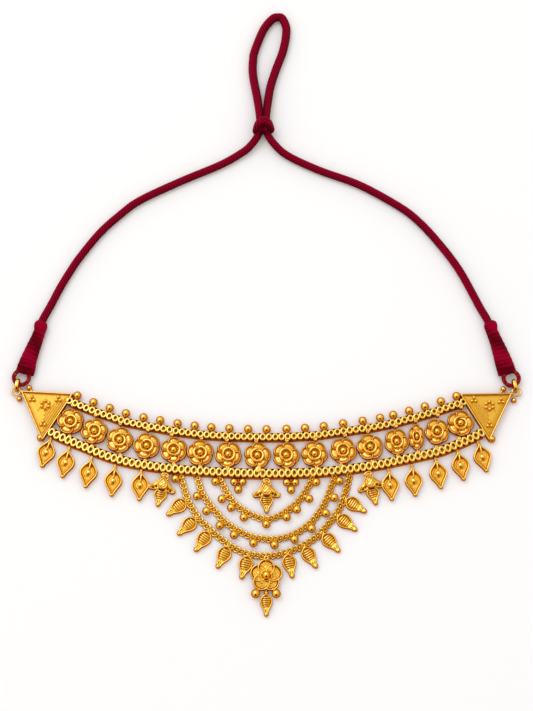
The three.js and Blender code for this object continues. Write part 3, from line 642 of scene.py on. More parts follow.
windingSettings = dict(  # each winding runs from its ring to the cord: (x, y, half width)
    left=[(-79.35, 41.0, 3.0), (-78.9, 42.6, 3.05), (-78.3, 45.2, 2.75), (-77.15, 48.8, 2.42),
          (-75.95, 52.3, 2.1), (-74.85, 55.7, 1.92), (-74.6, 57.6, 1.95), (-74.2, 59.0, 1.3)],
    right=[(79.15, 40.9, 3.0), (78.7, 42.6, 3.0), (77.95, 45.2, 2.85), (76.9, 48.8, 2.45),
           (75.75, 52.3, 2.1), (74.55, 55.7, 1.9), (74.2, 57.6, 1.95), (73.8, 59.0, 1.3)],
    high=[(0, 1.25), (0.12, 1.5), (0.8, 1.45), (0.93, 1.4), (1, 0.9)],  # (share of the length, half height)
    bands=[(1.9, 0.03, 0), (0.83, 0.02, 1)],  # (length, swell, start)
    pitch=0.42, rise=0.05, collar=dict(at=0.9, swell=0.22, half=0.9), lowest=1.3, groove=0.35,
    steps=360, sides=36)
ringSettings = dict(left=(-80.3, 39.5), right=(80.3, 39.2), radius=2.5, thick=0.66, height=1.75, pitch=0.36,
                    thread=0.09, uneven=0.04, steps=192, sides=12)


def makeWinding(stations, s):
    # an oval section carried up the winding; each turn of thread stands proud, bands of turns
    # are a little fatter, and there is a collar near the cord
    line = evenly(smoothLine(stations), s["steps"])
    run = distances(line[:, :2])
    swell = thread = np.abs(np.sin(np.pi * run / s["pitch"])) * s["rise"]
    for length, fatter, start in s["bands"]:
        swell = swell + fatter * np.sin(2 * np.pi * run / length + start)
    collar = s["collar"]
    swell = swell + collar["swell"] * np.exp(-((run - run[-1] * collar["at"]) / collar["half"]) ** 2)
    high = np.interp(run / run[-1], *np.transpose(s["high"])) + swell
    centre = np.column_stack([line[:, :2], np.maximum(high, s["lowest"])])
    # shade is painted in the grooves between the turns of thread
    groove = s["groove"] * np.clip(0.6 - thread / s["rise"], 0, 1)
    section = squared(roundSection(s["sides"]), 0.85)
    return sweep(centre, section, size=np.column_stack([line[:, 2] + swell, high]), recess=groove)


def makeWoundRing(centre, s):
    # a round ring whose girth swells at each turn of thread
    a = roundAngles(s["steps"])
    turns = round(2 * np.pi * s["radius"] / s["pitch"])
    girth = s["thick"] * (1 + s["thread"] * np.abs(np.sin(a * turns / 2)) + s["uneven"] * np.sin(3 * a))
    line = np.column_stack([roundSection(s["steps"], s["radius"], s["radius"]) + centre,
                            np.full(s["steps"], s["height"])])
    return sweep(line, roundSection(s["sides"]), True, girth)


for sideName in ("left", "right"):
    makePiece("winding." + sideName, [[makeWinding(windingSettings[sideName], windingSettings)]],
                  ["thread_wrap_" + sideName], [wrapSilk])
    makePiece("woundRing." + sideName, [[makeWoundRing(ringSettings[sideName], ringSettings)]],
                  ["wrapped_ring_" + sideName], [ringSilk])


# box chains

chainSettings = dict(
    upper=[(-64.2, 31.5), (-58.8, 29.1), (-51.9, 26.6), (-44.4, 24.2), (-35.2, 22.4), (-25.8, 20.8),
           (-15.4, 19.8), (0, 19.3), (14.9, 19.9), (24.6, 21.2), (34.4, 22.6), (41.9, 24.2),
           (51.4, 26.8), (56.6, 28.4), (64.3, 31.1)],
    lower=[(-69.7, 20.9), (-66.2, 19.1), (-58.8, 16), (-51.2, 12.9), (-43.6, 10.8), (-34.4, 9.3),
           (-24.7, 8.3), (-12.7, 7.6), (0, 7.2), (13.5, 7.5), (23.2, 8.3), (34.8, 9.9), (44.9, 12),
           (55.7, 14.5), (60.8, 16.4), (66.1, 18.7), (69.8, 20.7)],
    upperWidth=2.4, lowerWidth=2.9, height=2.4, pitch=1.97, corner=0.685, hole=(0.45, 0.42), unrest=0.05,
    bandFoot=0.1, bandSide=1.15, floor=1.3, bandTop=1.9,
    bandShade=[0.0, 0.4, 0.95, 1, 0.7, 0.7, 1, 1, 0.2, 0], shadeJitter=0.4,
    tabs=[(-2.5, 8.35, 1.9, 1.9, 1.4, 2.75, 12), (-2.3, 9.3, 1.3, 1.1, 1.2, 2.55)])
upperLine = smoothLine(chainSettings["upper"])
lowerLine = smoothLine(chainSettings["lower"])


def onLine(line, x):
    # the point of a left-to-right line at each x, and the direction square to it on its +Y side
    x = np.asarray(x, float)
    side = sideAndUp(line)[0]
    spot = np.stack([x, np.interp(x, line[:, 0], line[:, 1])], -1)
    away = np.stack([np.interp(x, line[:, 0], side[:, i]) for i in (0, 1)], -1)
    return spot, unit(away)


def underLowerChain(x, radius, gap=0.2):
    # the middle of an eye or ball that hangs just under the lower chain
    spot, away = onLine(lowerLine, x)
    return spot - away * (chainSettings["lowerWidth"] / 2 + gap + radius)


def chainLink(width, s):
    # an upright tube with cut corners and an oval hole; two links' edges stay up where they
    # meet; shade is painted at the cut corners, where they part, and down the wall of the hole
    cut = np.degrees(np.arctan(1 / s["corner"] - 1))
    a = np.radians(np.add.outer(np.arange(4) * 90.0, [0, cut, 45, 90 - cut]).ravel())
    c, n = np.cos(a), np.sin(a)
    reach = 1 / np.maximum(np.maximum(abs(c), abs(n)), s["corner"] * (abs(c) + abs(n)))
    outer = np.column_stack([reach * c * s["pitch"] / 2, reach * n * width / 2])
    inner = np.column_stack([s["hole"][0] * c, s["hole"][1] * n * width / 2])
    h = s["height"]
    # rows of the profile: (inwards, height, recess), the recess painting shade down the hole's wall
    profile = [(-0.05, 1.2, 0), (0, h - 0.2, 0), (0.05, h - 0.06, 0), (0.2, h, 0), (0.6, h, 0),
               (0.86, h - 0.04, 0), (0.96, h - 0.14, 0.1), (1, h - 0.35, 0.7), (1.02, 1.2, 1)]
    inwards, height, recess = np.array(profile).T[:, :, None]  # inwards is a share of the wall
    flat = outer + (inner - outer) * inwards[..., None]
    points = np.dstack([flat, np.repeat(height, len(a), 1)])
    meeting = np.clip((abs(c) - 0.75) / 0.08, 0, 1)
    points[1:3, :, 2] += (h - 0.03 - points[1:3, :, 2]) * meeting
    shade = np.repeat(recess, len(a), 1)
    shade[:2] += np.clip((np.minimum(abs(c), abs(n)) - 0.4) / 0.2, 0, 0.9)
    return surface(points, True, recess=np.clip(shade, 0, 1))


def boxChain(line, width, s):
    # links side by side on a band with upright sides and a sunken middle that closes their holes; the band
    # is painted in shade where it shows in the holes and notches
    count = int(distances(line)[-1] / s["pitch"])
    spots = evenly(line, count)
    along = headings(spots)
    spots[:, 2] = chance.uniform(-s["unrest"], s["unrest"], count)
    angles = np.arctan2(along[:, 1], along[:, 0]) + chance.uniform(-s["unrest"], s["unrest"], count)
    links = copies(chainLink(width, s), spots, flatAxes(angles))
    core = evenly(line, count * 2)
    middle = s["floor"] / 2
    core[:, 2] = middle
    half, foot, floor, top = width / 2, s["bandFoot"] - middle, s["floor"] - middle, s["bandTop"] - middle
    # its upper edge stands out a little, its lower edge keeps behind the links' ends
    upper = [(half + 0.25, foot), (half + 0.16, top - 0.15), (half + 0.06, top), (half - 0.14, floor + 0.1)]
    lower = [(0.25 - half, floor + 0.1), (0.12 - half, top), (-half, s["bandSide"] - middle),
             (-half - 0.2, foot)]
    section = np.array(upper + [(half * 0.35, floor), (-half * 0.35, floor)] + lower)
    # painted shade across the band's section, made lighter by a random amount in the holes
    shade = np.tile(s["bandShade"], (count * 2, 1))
    shade[:, 4:6] -= chance.uniform(0, s["shadeJitter"], (count * 2, 1))
    return links, sweep(core, section, recess=shade)


beadSettings = dict(
    x=[-61.8, -56.5, -51.1, -45.8, -40, -34.6, -28.9, -23.3, -17.9, -12, -5.9, 0.1,
       6.6, 12.6, 18.7, 25, 31.4, 37.1, 41.4, 46.6, 51.8, 57.1, 62.2],
    radius=1.36, rise=2.8,
    neck=[(0, 0.9), (0.42, 0.9), (0.36, 1.35), (0.55, 1.45), (0.55, 1.62), (0.35, 1.75), (0, 1.75)],
    neckShade=[1, 1, 0.9, 0.5, 0.5, 0.8, 1])


def beadRow(s):
    # each bead stands off the upper chain on a short neck with a collar
    away = onLine(upperLine, s["x"])[1]
    spot, away = onLine(upperLine, np.array(s["x"]) - away[:, 0] * s["rise"])
    flat = np.column_stack([away, np.zeros(len(away))])
    level = np.column_stack([away[:, 1], -away[:, 0], np.zeros(len(away))])
    base = np.column_stack([spot, np.full(len(spot), s["radius"])])
    # the neck is painted in shade, darkest at both ends
    neck = spin(s["neck"], 10, recess=s["neckShade"])
    necks = copies(neck, base, np.stack([level, np.cross(flat, level), flat], 1))
    return manyBalls(base + flat * s["rise"], s["radius"]), necks


beads, necks = beadRow(beadSettings)
links, band = boxChain(upperLine, chainSettings["upperWidth"], chainSettings)
makePiece("upperChain", [[links, necks], [beads], [band]], ["upper_chain"],
          [chainGold, polishedGold, bandGold], sharp=50)
links, band = boxChain(lowerLine, chainSettings["lowerWidth"], chainSettings)
tabs = [roundedTab(*tab) for tab in chainSettings["tabs"]]
makePiece("lowerChain", [[links] + tabs, [band]], ["lower_chain"],
          [chainGold, bandGold], sharp=50)
print("stage: chains and beads")


# rosettes

rosetteSettings = dict(
    x=[-63.8, -55.9, -47.6, -38.8, -30, -21.4, -12.3, -2.9, 6.4, 15.6, 24.9, 33.6, 42.3, 48.8, 55.5, 63.2],
    turn=[10, 40, -20, 15, 60, 5, 30, -10, 50, 20, -35, 12, 45, 0, 25, -15],
    petals=[5, 6, 5, 5, 6, 5, 5, 5, 5, 6, 5, 5, 5, 6, 5, 5],
    long=1.72, reach=2.72, roll=8, pitch=5, height=1.45, rim=0.5, backHeight=0.6, backRim=0.3,
    seat=[(0, 0), (3.1, 0), (3.45, 0.3), (3.4, 0.8), (2.4, 1.2), (2.3, 1.9), (1.75, 2.0), (1.65, 1.7),
          (0, 1.6)],
    seatShade=[1, 1, 1, 1, 1, 0.8, 0.6, 0.75, 0.8],
    ring=dict(radius=2.02, thick=0.42, tall=1.8, top=2.95, turns=1.12, drop=0.6, tuckFrom=0.62),
    ball=1.08, ballHeight=2.15, leaning=13, leaningWidth=0.6, besideWidth=0.92)


def petalShell(long, wide, high):
    # a cupped round petal: outer slope painted in shade, raised rim, groove painted in shade, and a nearly
    # flat streaked middle
    rows = [(0.4, 0.2, -0.6, 1), (0.06, 0, -0.55, 1), (0, 0, -0.35, 1), (0.04, 0, 0.0, 0.9),
            (0.14, 0, high - 0.12, 0.5), (0.23, 0, high, 0.05), (0.35, 0, high - 0.02, 0.05),
            (0.45, 0, high - 0.34, 0.9), (0.57, 0.02, high - 0.46, 1), (0.66, 0.11, high - 0.38, 0.85),
            (0.68, 0.26, high - 0.28, 0.3), (0.68, 0.48, high - 0.23, 0.1), (0.68, 0.8, high - 0.22, 0)]

    def streaks(points, shade, rows):
        # waves across the middle, painted in shade where they dip
        inner = np.clip(rows[:, 1] * 4, 0, 1) * (rows[:, 2] > 0)
        wave = np.cos(points[..., 0] * 8.5) * inner[:, None]
        points[..., 2] += 0.045 * wave
        return points, np.clip(shade - 0.22 * wave * (wave < 0), 0, 1)

    return relief(roundSection(30, wide, long), (0, -0.1), rows, streaks)


def spiralRing(start, s):
    # a strip of wire, taller than wide, whose inner end tucks under its outer one
    a = np.linspace(0, 2 * np.pi * s["turns"], 64)
    late = np.clip((a / (2 * np.pi) - s["tuckFrom"]) / (s["turns"] - s["tuckFrom"]), 0, 1)
    r, high = s["radius"] - s["drop"] * late ** 1.6, s["thick"] * s["tall"]
    line = np.column_stack([r * np.cos(a + start), r * np.sin(a + start),
                            s["top"] - high - 0.3 * late ** 1.5])
    taper = np.interp(a / a[-1], [0, 0.06, 0.85, 1], [0.5, 1, 1, 0.45])
    return sweep(line, squared(roundSection(14), 0.7) * (s["thick"], high), size=taper)


def rosette(index, s):
    # overlapping petals over a ring of lower ones, a seat, a ball in a spiral ring, and an eye
    # and tab to each chain
    turn, count, x = s["turn"][index], s["petals"][index], s["x"][index]
    wide = 1.3 * s["reach"] * np.sin(np.pi / count) + 0.32
    petal = moved(petalShell(s["long"], wide, s["rim"]), 0, (0, s["reach"], s["height"]), roll=s["roll"],
                  pitch=s["pitch"])
    back = moved(petalShell(s["long"], wide * 0.9, s["backRim"]), 0, (0, s["reach"] - 0.35, s["backHeight"]))
    petals = [moved(petal, turn + k * 360 / count) for k in range(count)]
    petals += [moved(back, turn + (k + 0.5) * 360 / count) for k in range(count)]
    # the seat is painted in shade all over, most below the petals
    seat = spin(s["seat"], 32, recess=s["seatShade"])
    heart = ball((0, 0, s["ballHeight"]), s["ball"], 22, 14)
    ring = spiralRing(np.radians(turn * 3 + 100), s["ring"])
    beside = abs(index - s["leaning"]) == 1
    width = s["leaningWidth"] if index == s["leaning"] else s["besideWidth"] if beside else 1.0
    top, low = onLine(upperLine, x)[0][1], onLine(lowerLine, x)[0][1]
    place = dict(shift=(x, (top + low) / 2, 0), stretch=(width, 1, 1))
    left, right = x + chance.uniform(-0.7, 0.7, 2)
    links = [roundedTab(left, top - 1.4, 0.95, 1.2, 0.6, 2.1),
             roundedTab(right, low + 1.55, 1.05, 1.3, 0.6, 2.1),
             hoop((left, top - 1.2, 2.15), 0.46, 0.2), hoop((right, low + 1.4, 2.15), 0.46, 0.2)]
    satin = [moved(g, **place) for g in petals + [seat]]
    return [satin, [moved(heart, **place)] + links, [moved(ring, **place)]]


for i in range(16):
    makePiece(f"rosette.{i + 1:02d}", rosette(i, rosetteSettings), [f"rosette_{i + 1:02d}"],
              [satinGold, polishedGold, chainGold])
print("stage: rosettes")


# leaves of every kind: half outlines are (share of the length, half width)

def leafPlan(length, half, count):
    # half widths at shares of the length, mirrored and smoothed into a closed outline
    half = np.asarray(half, float)
    right = np.column_stack([half[:, 1], -half[:, 0] * length])
    return smoothOutline(np.vstack([right, right[::-1] * (-1, 1)]), count)


dropSettings = dict(
    places=[(-70.2, 18.5, -15), (-64.1, 15.2, -11), (-56.7, 11.9, -10), (-49, 9.2, -5), (-40.4, 7.8, -3),
            (39.6, 7.8, 5), (47.2, 9.2, 5), (54.9, 11.6, 9), (62.1, 14.3, 10.5), (69, 17, 14)],
    length=9.1, half=[(0.0, 0.3), (0.06, 0.55), (0.14, 1.15), (0.26, 2.1), (0.38, 2.72), (0.49, 2.85),
                      (0.61, 2.5), (0.74, 1.75), (0.86, 1.05), (0.94, 0.68), (1.0, 0.58)],
    thick=1.8, stud=0.88, tip=0.74, stem=0.33)


def leafSide(thick):
    # the rounded lower edge of a leaf and its upright side, both painted in shade
    return [(0.12, 0, 0, 0.5), (0, 0, 0.12, 0.4), (0, 0, thick - 0.4, 0.3)]


def leafDropShape(s):
    # rim, groove, beaded inner ridge and a sunken middle, with shade painted in the groove and parts of the
    # middle; a stem runs from the top to a round stud
    length, t = s["length"], s["thick"]
    rows = leafSide(t) + [(0.03, 0, t - 0.08, 0), (0.1, 0, t, 0), (0.42, 0, t - 0.02, 0),
                          (0.48, 0, t - 0.28, 0.4), (0.55, 0, t - 0.55, 1)]
    rows += [(0.6, share, t - down, deep) for share, down, deep in (
        (0.05, 0.55, 0.9), (0.11, 0.42, 0.2), (0.17, 0.32, 0), (0.23, 0.4, 0.2), (0.3, 0.5, 0.55),
        (0.4, 0.48, 0.25), (0.52, 0.46, 0.1), (0.66, 0.46, 0.1), (0.82, 0.46, 0.2))]

    def dressed(points, shade, rows):
        # beads along the ridge, painted in shade where they dip, and a hollow at the top and below the stud,
        # painted in shade
        x, down = points[..., 0], -points[..., 1] / length
        inner = (rows[:, 1] > 0.04)[:, None]
        beads = np.cos(np.arange(points.shape[1])[None] * 2 * np.pi / 3) * (rows[:, 1] > 0.08)[:, None]
        throat = inner * np.clip((0.3 - down) / 0.08, 0, 1)
        trough = inner * np.exp(-(((down - 0.6) / 0.035) ** 2 + (x / 0.7) ** 2))
        points[..., 2] += 0.06 * beads - 0.35 * throat - 0.25 * trough
        return points, np.clip(shade + throat + trough - 0.25 * np.minimum(beads, 0), 0, 1)

    body = relief(leafPlan(length, s["half"], 96), (0, -length * 0.5), rows, dressed)
    stem = wire([(0.15, -0.5, t - 0.1), (0.1, -1.7, t + 0.05), (0, -3.6, t - 0.05)], s["stem"])
    stud = pebble((0, -length * 0.47, t - 0.2), s["stud"], (1, 1, 0.55), 18, 10)
    tip = pebble((0, -length * 0.985, t * 0.65), s["tip"], (1, 0.85, 0.9))
    # the tab is painted lightly in shade all over
    return [body, shadeAllOver(roundedTab(0, 0.55, 0.9, 1.9, 0.5, 1.3), 0.35)], [stem, stud, tip]


makeEach("leafDrop", "leaf_drop", leafDropShape(dropSettings), dropSettings["places"],
         [leafGold, polishedGold])

stripedHalf = [(0.0, 0.18), (0.06, 0.48), (0.16, 0.82), (0.3, 1), (0.45, 0.99), (0.6, 0.82), (0.72, 0.62),
               (0.82, 0.46), (0.92, 0.37), (1.0, 0.35)]


def stripedLeaf(length, width, thick, tip, bars=5):
    # a rim round a sunken floor painted in shade, raised bars straight across the floor, and a ball at the
    # tip
    half, t = np.array(stripedHalf) * (1, width / 2), thick
    rows = leafSide(t) + [(0.05, 0, t - 0.12, 0.1), (0.18, 0, t, 0), (0.42, 0, t - 0.02, 0),
                          (0.5, 0, t - 0.3, 0.6), (0.54, 0.04, t - 0.5, 0.9), (0.56, 0.3, t - 0.5, 0.7),
                          (0.56, 0.7, t - 0.5, 0.7)]

    def solidNeck(points, shade, rows):
        # below the bars the floor rises to the rim and loses its painted shade
        full = np.clip((-points[..., 1] / length - 0.64) / 0.06, 0, 1) * (rows[:, 3] > 0.4)[:, None]
        full = full * (rows[:, 2] > 0.2)[:, None]
        points[..., 2] += (t - 0.12 - points[..., 2]) * full
        return points, shade * (1 - full)

    body = relief(leafPlan(length, half, 80), (0, -length * 0.42), rows, solidNeck)
    pitch = 0.52 * length / bars
    bright = [ball((0, -length - tip * 0.15, max(tip, t * 0.55)), tip, 16, 10)]
    for k in range(bars):
        down = length * 0.14 + (k + 0.5) * pitch
        reach = max(np.interp(down / length, half[:, 0], half[:, 1]) - 0.48, 0.15)
        bright.append(wire([(-reach, -down, t - 0.4), (0, -down, t - 0.26), (reach, -down, t - 0.4)],
                           0.38 * pitch, 7))
    return body, gather(bright)


bellSettings = dict(
    places=[(-32.3, -13), (0.1, 0), (32.4, 14)], bail=0.8, bailDrop=0.5,
    leaf=(5.4, 4.2, 1.5, 0.78, 4), leafTop=4.7,
    shield=[(0, -1.5), (0.5, -1.55), (0.95, -2.05), (1.4, -2.8), (1.72, -3.65), (1.47, -4.5), (0.8, -5.15),
            (0, -5.25)],
    wing=[(0.7, -1.3), (1.6, -2.0), (2.6, -3.05), (3.6, -4.0), (4.4, -4.8), (4.35, -5.45),
          (3.7, -5.85), (2.7, -5.75), (1.7, -5.6), (0.9, -5.0), (0.6, -3.2)],
    # each dimple of a wing is (x, y, radius, depth)
    dimples=[(2.85, -5.0, 0.55, 0.25), (3.3, -4.15, 0.26, 0.3), (1.95, -4.6, 0.4, 0.2)])


def bellShape(s):
    # a bail with a ball, a bumpy shield in front, a drooping wing to each side, a striped leaf below; shade
    # is painted on the shield's and wings' sides and grooves, and dark pits painted almost fully in shade
    # sit on the wings and below the shield
    bail = [hoop((0, -0.5, 1.9), 0.8, 0.3, 24, 8, (1.35, 0.85)), ball((0, -0.7, 2.3), 0.5, 18, 10),
            roundedTab(0, -0.7, 2.0, 1.7, 0.8, 1.7)]
    bail += [wire([(g * 1.05, -0.6, 2.1), (g * 1.3, -1.5, 2.6), (g * 1.15, -2.3, 2.9)], 0.3)
             for g in (-1, 1)]
    half = np.array(s["shield"])
    shield = smoothOutline(np.vstack([half, half[-2:0:-1] * (-1, 1)]), 64)
    rows = [(0.2, 0, 0.9, 0.8), (0, 0, 1.1, 0.6), (0, 0, 2.7, 0.35), (0.06, 0, 2.96, 0.05),
            (0.2, 0, 3.05, 0), (0.36, 0, 3.02, 0), (0.46, 0, 2.84, 0.4), (0.52, 0.05, 2.76, 0.6),
            (0.52, 0.15, 2.84, 0.15), (0.52, 0.3, 2.88, 0)]
    rows += [(0.52, share, 2.9, 0) for share in (0.45, 0.6, 0.8)]

    def bumpy(points, shade, rows):
        # two crossing waves inside the groove, painted in shade where they dip
        inner = (rows[:, 1] > 0.1)[:, None]
        wave = np.cos(points[..., 0] * 5.2) * np.cos(points[..., 1] * 5.2)
        points[..., 2] += 0.08 * inner * wave
        return points, np.clip(shade - 0.4 * inner * np.minimum(wave, 0), 0, 1)

    def dimpled(points, shade, rows):
        # a round hollow at each dimple, painted in shade, darker the deeper it goes
        inner = (rows[:, 1] > 0.04)[:, None]
        for x, y, radius, deep in s["dimples"]:
            pit = inner * np.exp(-((points[..., 0] - x) ** 2 + (points[..., 1] - y) ** 2) / radius ** 2)
            points[..., 2] -= deep * pit
            shade = np.clip(shade + 1.4 * deep * pit, 0, 1)
        return points, shade

    wingRows = [(0.1, 0, 0.1, 0.6), (0, 0, 0.25, 0.5), (0, 0, 1.4, 0.3), (0.06, 0, 1.72, 0.05),
                (0.2, 0, 1.84, 0), (0.34, 0, 1.8, 0.05), (0.44, 0, 1.62, 0.4)]
    wingRows += [(0.48, share, 1.66 + 0.1 * share, 0.12)
                 for share in (0.06, 0.16, 0.28, 0.4, 0.54, 0.7, 0.85)]
    right = relief(smoothOutline(s["wing"], 72), (2.4, -4.1), wingRows, dimpled)
    pits = [pebble((g * 2.85, -5.0, 1.6), 0.46, (1, 1, 0.35), 14, 8) for g in (-1, 1)]
    pits += [pebble((g * 1.95, -4.55, 1.66), 0.4, (0.8, 1.2, 0.3), 14, 8) for g in (-1, 1)]
    pits += [pebble((0, -5.3, 1.5), 0.5, (1.9, 0.6, 0.4), 14, 8)]
    knobs = [ball((g * 4.0, -4.85, 1.35), 0.62, 16, 10) for g in (-1, 1)]
    leaf, end = (moved(g, shift=(0, -s["leafTop"], 0)) for g in stripedLeaf(*s["leaf"]))
    return ([moved(right, stretch=(-1, 1, 1)), right, leaf], bail + knobs + [end],
            [relief(shield, (0, -3.4), rows, bumpy)], [shadeAllOver(g, 0.95) for g in pits])


bellPlaces = [(*underLowerChain(x, bellSettings["bail"] - bellSettings["bailDrop"]), lean)
              for x, lean in bellSettings["places"]]
makeEach("bellDrop", "bell_drop", bellShape(bellSettings), bellPlaces,
         [leafGold, polishedGold, chainGold, bandGold])

clusterSettings = dict(x=[-8.9, 7.9], ball=1.24, lowBall=1.34, spread=1.42, drop=2.5, bar=0.35, stub=1.5)


def clusterShape(s):
    # three balls that touch round low bars, and a low stub to the chain; bars and stub are painted in shade
    # and dulled
    r, w, d, z = s["ball"], s["spread"], s["drop"], s["ball"] - 0.45
    balls = manyBalls([(-w, 0, r), (w, 0, r), (0, -d, s["lowBall"])], [r, r, s["lowBall"]], 24, 14)
    ends = [(-w, 0, w, 0), (-w, 0, 0, -d), (w, 0, 0, -d), (0, 0, 0, s["stub"])]
    bars = [wire([(x0, y0, z), (x1, y1, z)], s["bar"], smooth=False) for x0, y0, x1, y1 in ends]
    return [balls] + [shadeAllOver(bar, 0.8) for bar in bars]


clusterPlaces = [(*underLowerChain(x, clusterSettings["ball"]), 0) for x in clusterSettings["x"]]
makeEach("ballCluster", "ball_cluster", [clusterShape(clusterSettings)], clusterPlaces, [polishedGold])
print("stage: leaf drops, bells and clusters")


# swags

swagSettings = dict(
    inner=dict(route=[(-15, 5.5), (-12.3, 0.4), (-10, -2.5), (-6.8, -5), (-3.1, -6.8), (0, -7.6),
                      (3.4, -6.8), (7, -4.6), (10.1, -2), (12.4, 1), (14.9, 5.4)],
               balls=[(-16.4, 4.7), (-14.3, -1.1), (-11.3, -3.9), (-7.2, -7.1), (0, -9.3), (6.5, -7),
                      (9.8, -4.5), (13.8, -1), (16.1, 4.5)]),
    middle=dict(route=[(-22.3, 6.1), (-20.7, 1), (-18.1, -2.8), (-15.7, -5.8), (-13.1, -8.6), (-8.5, -11.6),
                       (-4.3, -13.4), (-0.6, -14), (2.9, -14.1), (7.2, -13.1), (11, -11.3), (14.4, -8.6),
                       (16.9, -5.5), (19, -2), (20.5, 1.7), (22.1, 6)],
                balls=[(-22.3, -0.1), (-19.2, -5), (-14.9, -9.7), (-10.3, -12.8), (-4.1, -15.4), (2.6, -16),
                       (9, -14.2), (14.5, -10.7), (19.1, -5.7), (21.9, -0.6), (23.6, 4.9)]),
    outer=dict(route=[(-27.7, 6.5), (-25.3, -1), (-22.2, -6.5), (-19.1, -9.9), (-14.4, -14), (-10.8, -16.6),
                      (-6.8, -18.5), (-1.3, -19.5), (4.3, -19), (9.3, -17.3), (12.9, -15.5), (16.3, -13.2),
                      (18.8, -10.5), (21.6, -7.1), (23.8, -3.6), (25.7, 1.7), (26.9, 6.5)],
               balls=[(-29.3, 5.6)]),
    height=0.95, ball=1.36, pitch=1.73, long=1.1, wide=0.62, wire=0.34, slant=42, lift=0.42, bead=0.33,
    core=(0.5, 0.45), coreHeight=0.5, neck=0.4, neckHeight=0.9, unrest=0.06)


def curbLink(s):
    # an oval of wire turned across the chain's line, its leading end lifted over the next link,
    # with the next links' ends seen as a round bead in its opening; shade is painted on the oval's inner
    # side and its lower end
    line = np.column_stack([roundSection(14, s["long"], s["wide"]), s["lift"] * np.cos(roundAngles(14))])
    link = sweep(line, roundSection(8, s["wire"], s["wire"]), True)
    p = link["points"]
    reach = np.hypot(p[:, 0] / (s["long"] + s["wire"]), p[:, 1] / (s["wide"] + s["wire"]))
    link["recess"] = np.clip(np.clip(1.6 - 2.4 * reach, 0, 1) + 0.4 * np.clip(-p[:, 2] / 0.5, 0, 1), 0, 1)
    bead = moved(ball((0, 0, 0), s["bead"], 12, 8), s["slant"], (0, 0, 0.15), (1.5, 0.85, 0.9))
    return moved(link, s["slant"]), bead


def swag(part, s):
    # curb links one after another along the route, each leaning the same way, and balls on short necks
    line = smoothLine(part["route"])
    count = int(distances(line)[-1] / s["pitch"]) + 1
    spots = evenly(line, count)
    along = headings(spots)
    spots[:, 2] = s["height"]
    angles = np.arctan2(along[:, 1], along[:, 0]) + chance.uniform(-s["unrest"], s["unrest"], count)
    links, ends = (copies(g, spots, flatAxes(angles)) for g in curbLink(s))
    # a core under the links, painted half in shade
    core = sweep(evenly(line, 2 * count) + (0, 0, s["coreHeight"]), roundSection(8, *s["core"]), recess=0.5)
    necks = []
    for x, y in part["balls"]:
        near = line[np.argmin(np.hypot(line[:, 0] - x, line[:, 1] - y))]
        necks.append(wire([(near[0], near[1], s["neckHeight"]), (x, y, s["ball"])], s["neck"], smooth=False))
    balls = manyBalls([(x, y, s["ball"]) for x, y in part["balls"]], s["ball"])
    return [links, core] + necks, [balls, ends]


for part in ("inner", "middle", "outer"):
    makePiece("swag." + part, swag(swagSettings[part], swagSettings), ["swag_" + part],
              [swagGold, polishedGold])

swagLeafSettings = dict(
    places=[(-25.3, -1, -51), (-22.1, -6.9, -47), (-17.9, -11.1, -35), (-11.8, -15.9, -27),
            (-5.5, -18.8, -17), (6.6, -18.3, 12), (11.7, -16.1, 31), (17.7, -11.9, 42),
            (22.3, -6.1, 52), (25, -0.7, 57)],
    leaf=(7.0, 4.5, 1.5, 0.8), start=0.75)


def swagLeafShape(s):
    # a striped leaf, hung by a small eye a little below the swag
    body, end = stripedLeaf(*s["leaf"])
    eye = hoop((0, 0.55, 1.1), 0.45, 0.24)
    return [[moved(g, shift=(0, -s["start"], 0)) for g in group] for group in ([body], [end, eye])]


makeEach("swagLeaf", "swag_leaf", swagLeafShape(swagLeafSettings), swagLeafSettings["places"],
         [leafGold, polishedGold])
print("stage: swags and their leaves")


# centre flower and the leaf under it

flowerSettings = dict(
    y=-25.9, lobes=5, lobe=2.72, reach=2.5, lift=[0.5, 0.25, 0.1, 0, 0.25], ball=1.34, ballHeight=2.5,
    balls=[(-3.4, -5.75, 1.45), (3.15, -5.75, 1.45), (0, -5.3, 0.68)],  # (x, y, radius)
    collar=[(0, 0.2), (1.95, 0.2), (2.0, 1.9), (1.85, 2.15), (1.65, 2.2), (1.5, 2.0), (1.3, 1.8), (0, 1.8)],
    collarShade=[1, 1, 0.8, 0.2, 0, 0.6, 0.9, 1])


def flowerLobe(radius):
    # a flat-topped rim, a deep groove inside it, and a floor rising in low terraces; shade is painted on the
    # outer side, in the groove and at the foot of each terrace step
    rows = [(0.15, 0, 0, 0.6), (0, 0, 0.15, 0.5), (0, 0, 1.5, 0.3), (0.04, 0, 1.9, 0), (0.1, 0, 1.96, 0),
            (0.38, 0, 1.94, 0), (0.44, 0, 1.5, 0.8), (0.5, 0, 1.02, 1), (0.66, 0, 1.0, 0.9),
            (0.76, 0, 1.3, 0.2)]
    for inset, z in ((1.05, 1.38), (1.45, 1.5), (1.85, 1.62)):
        rows += [(inset, 0, z, 0), (inset + 0.06, 0, z - 0.1, 0.5), (inset + 0.14, 0, z, 0.1)]

    def fluted(points, shade, rows):
        # sixteen waves round the lobe's floor, painted in shade where they dip
        turn = np.arctan2(points[..., 1], points[..., 0])
        wave = np.cos(turn * 16) * (rows[:, 0] > 0.65)[:, None]
        points[..., 2] += 0.05 * wave
        return points, np.clip(shade - 0.35 * np.minimum(wave, 0), 0, 1)

    return relief(roundSection(48, radius, radius), (0, 0), rows, fluted)


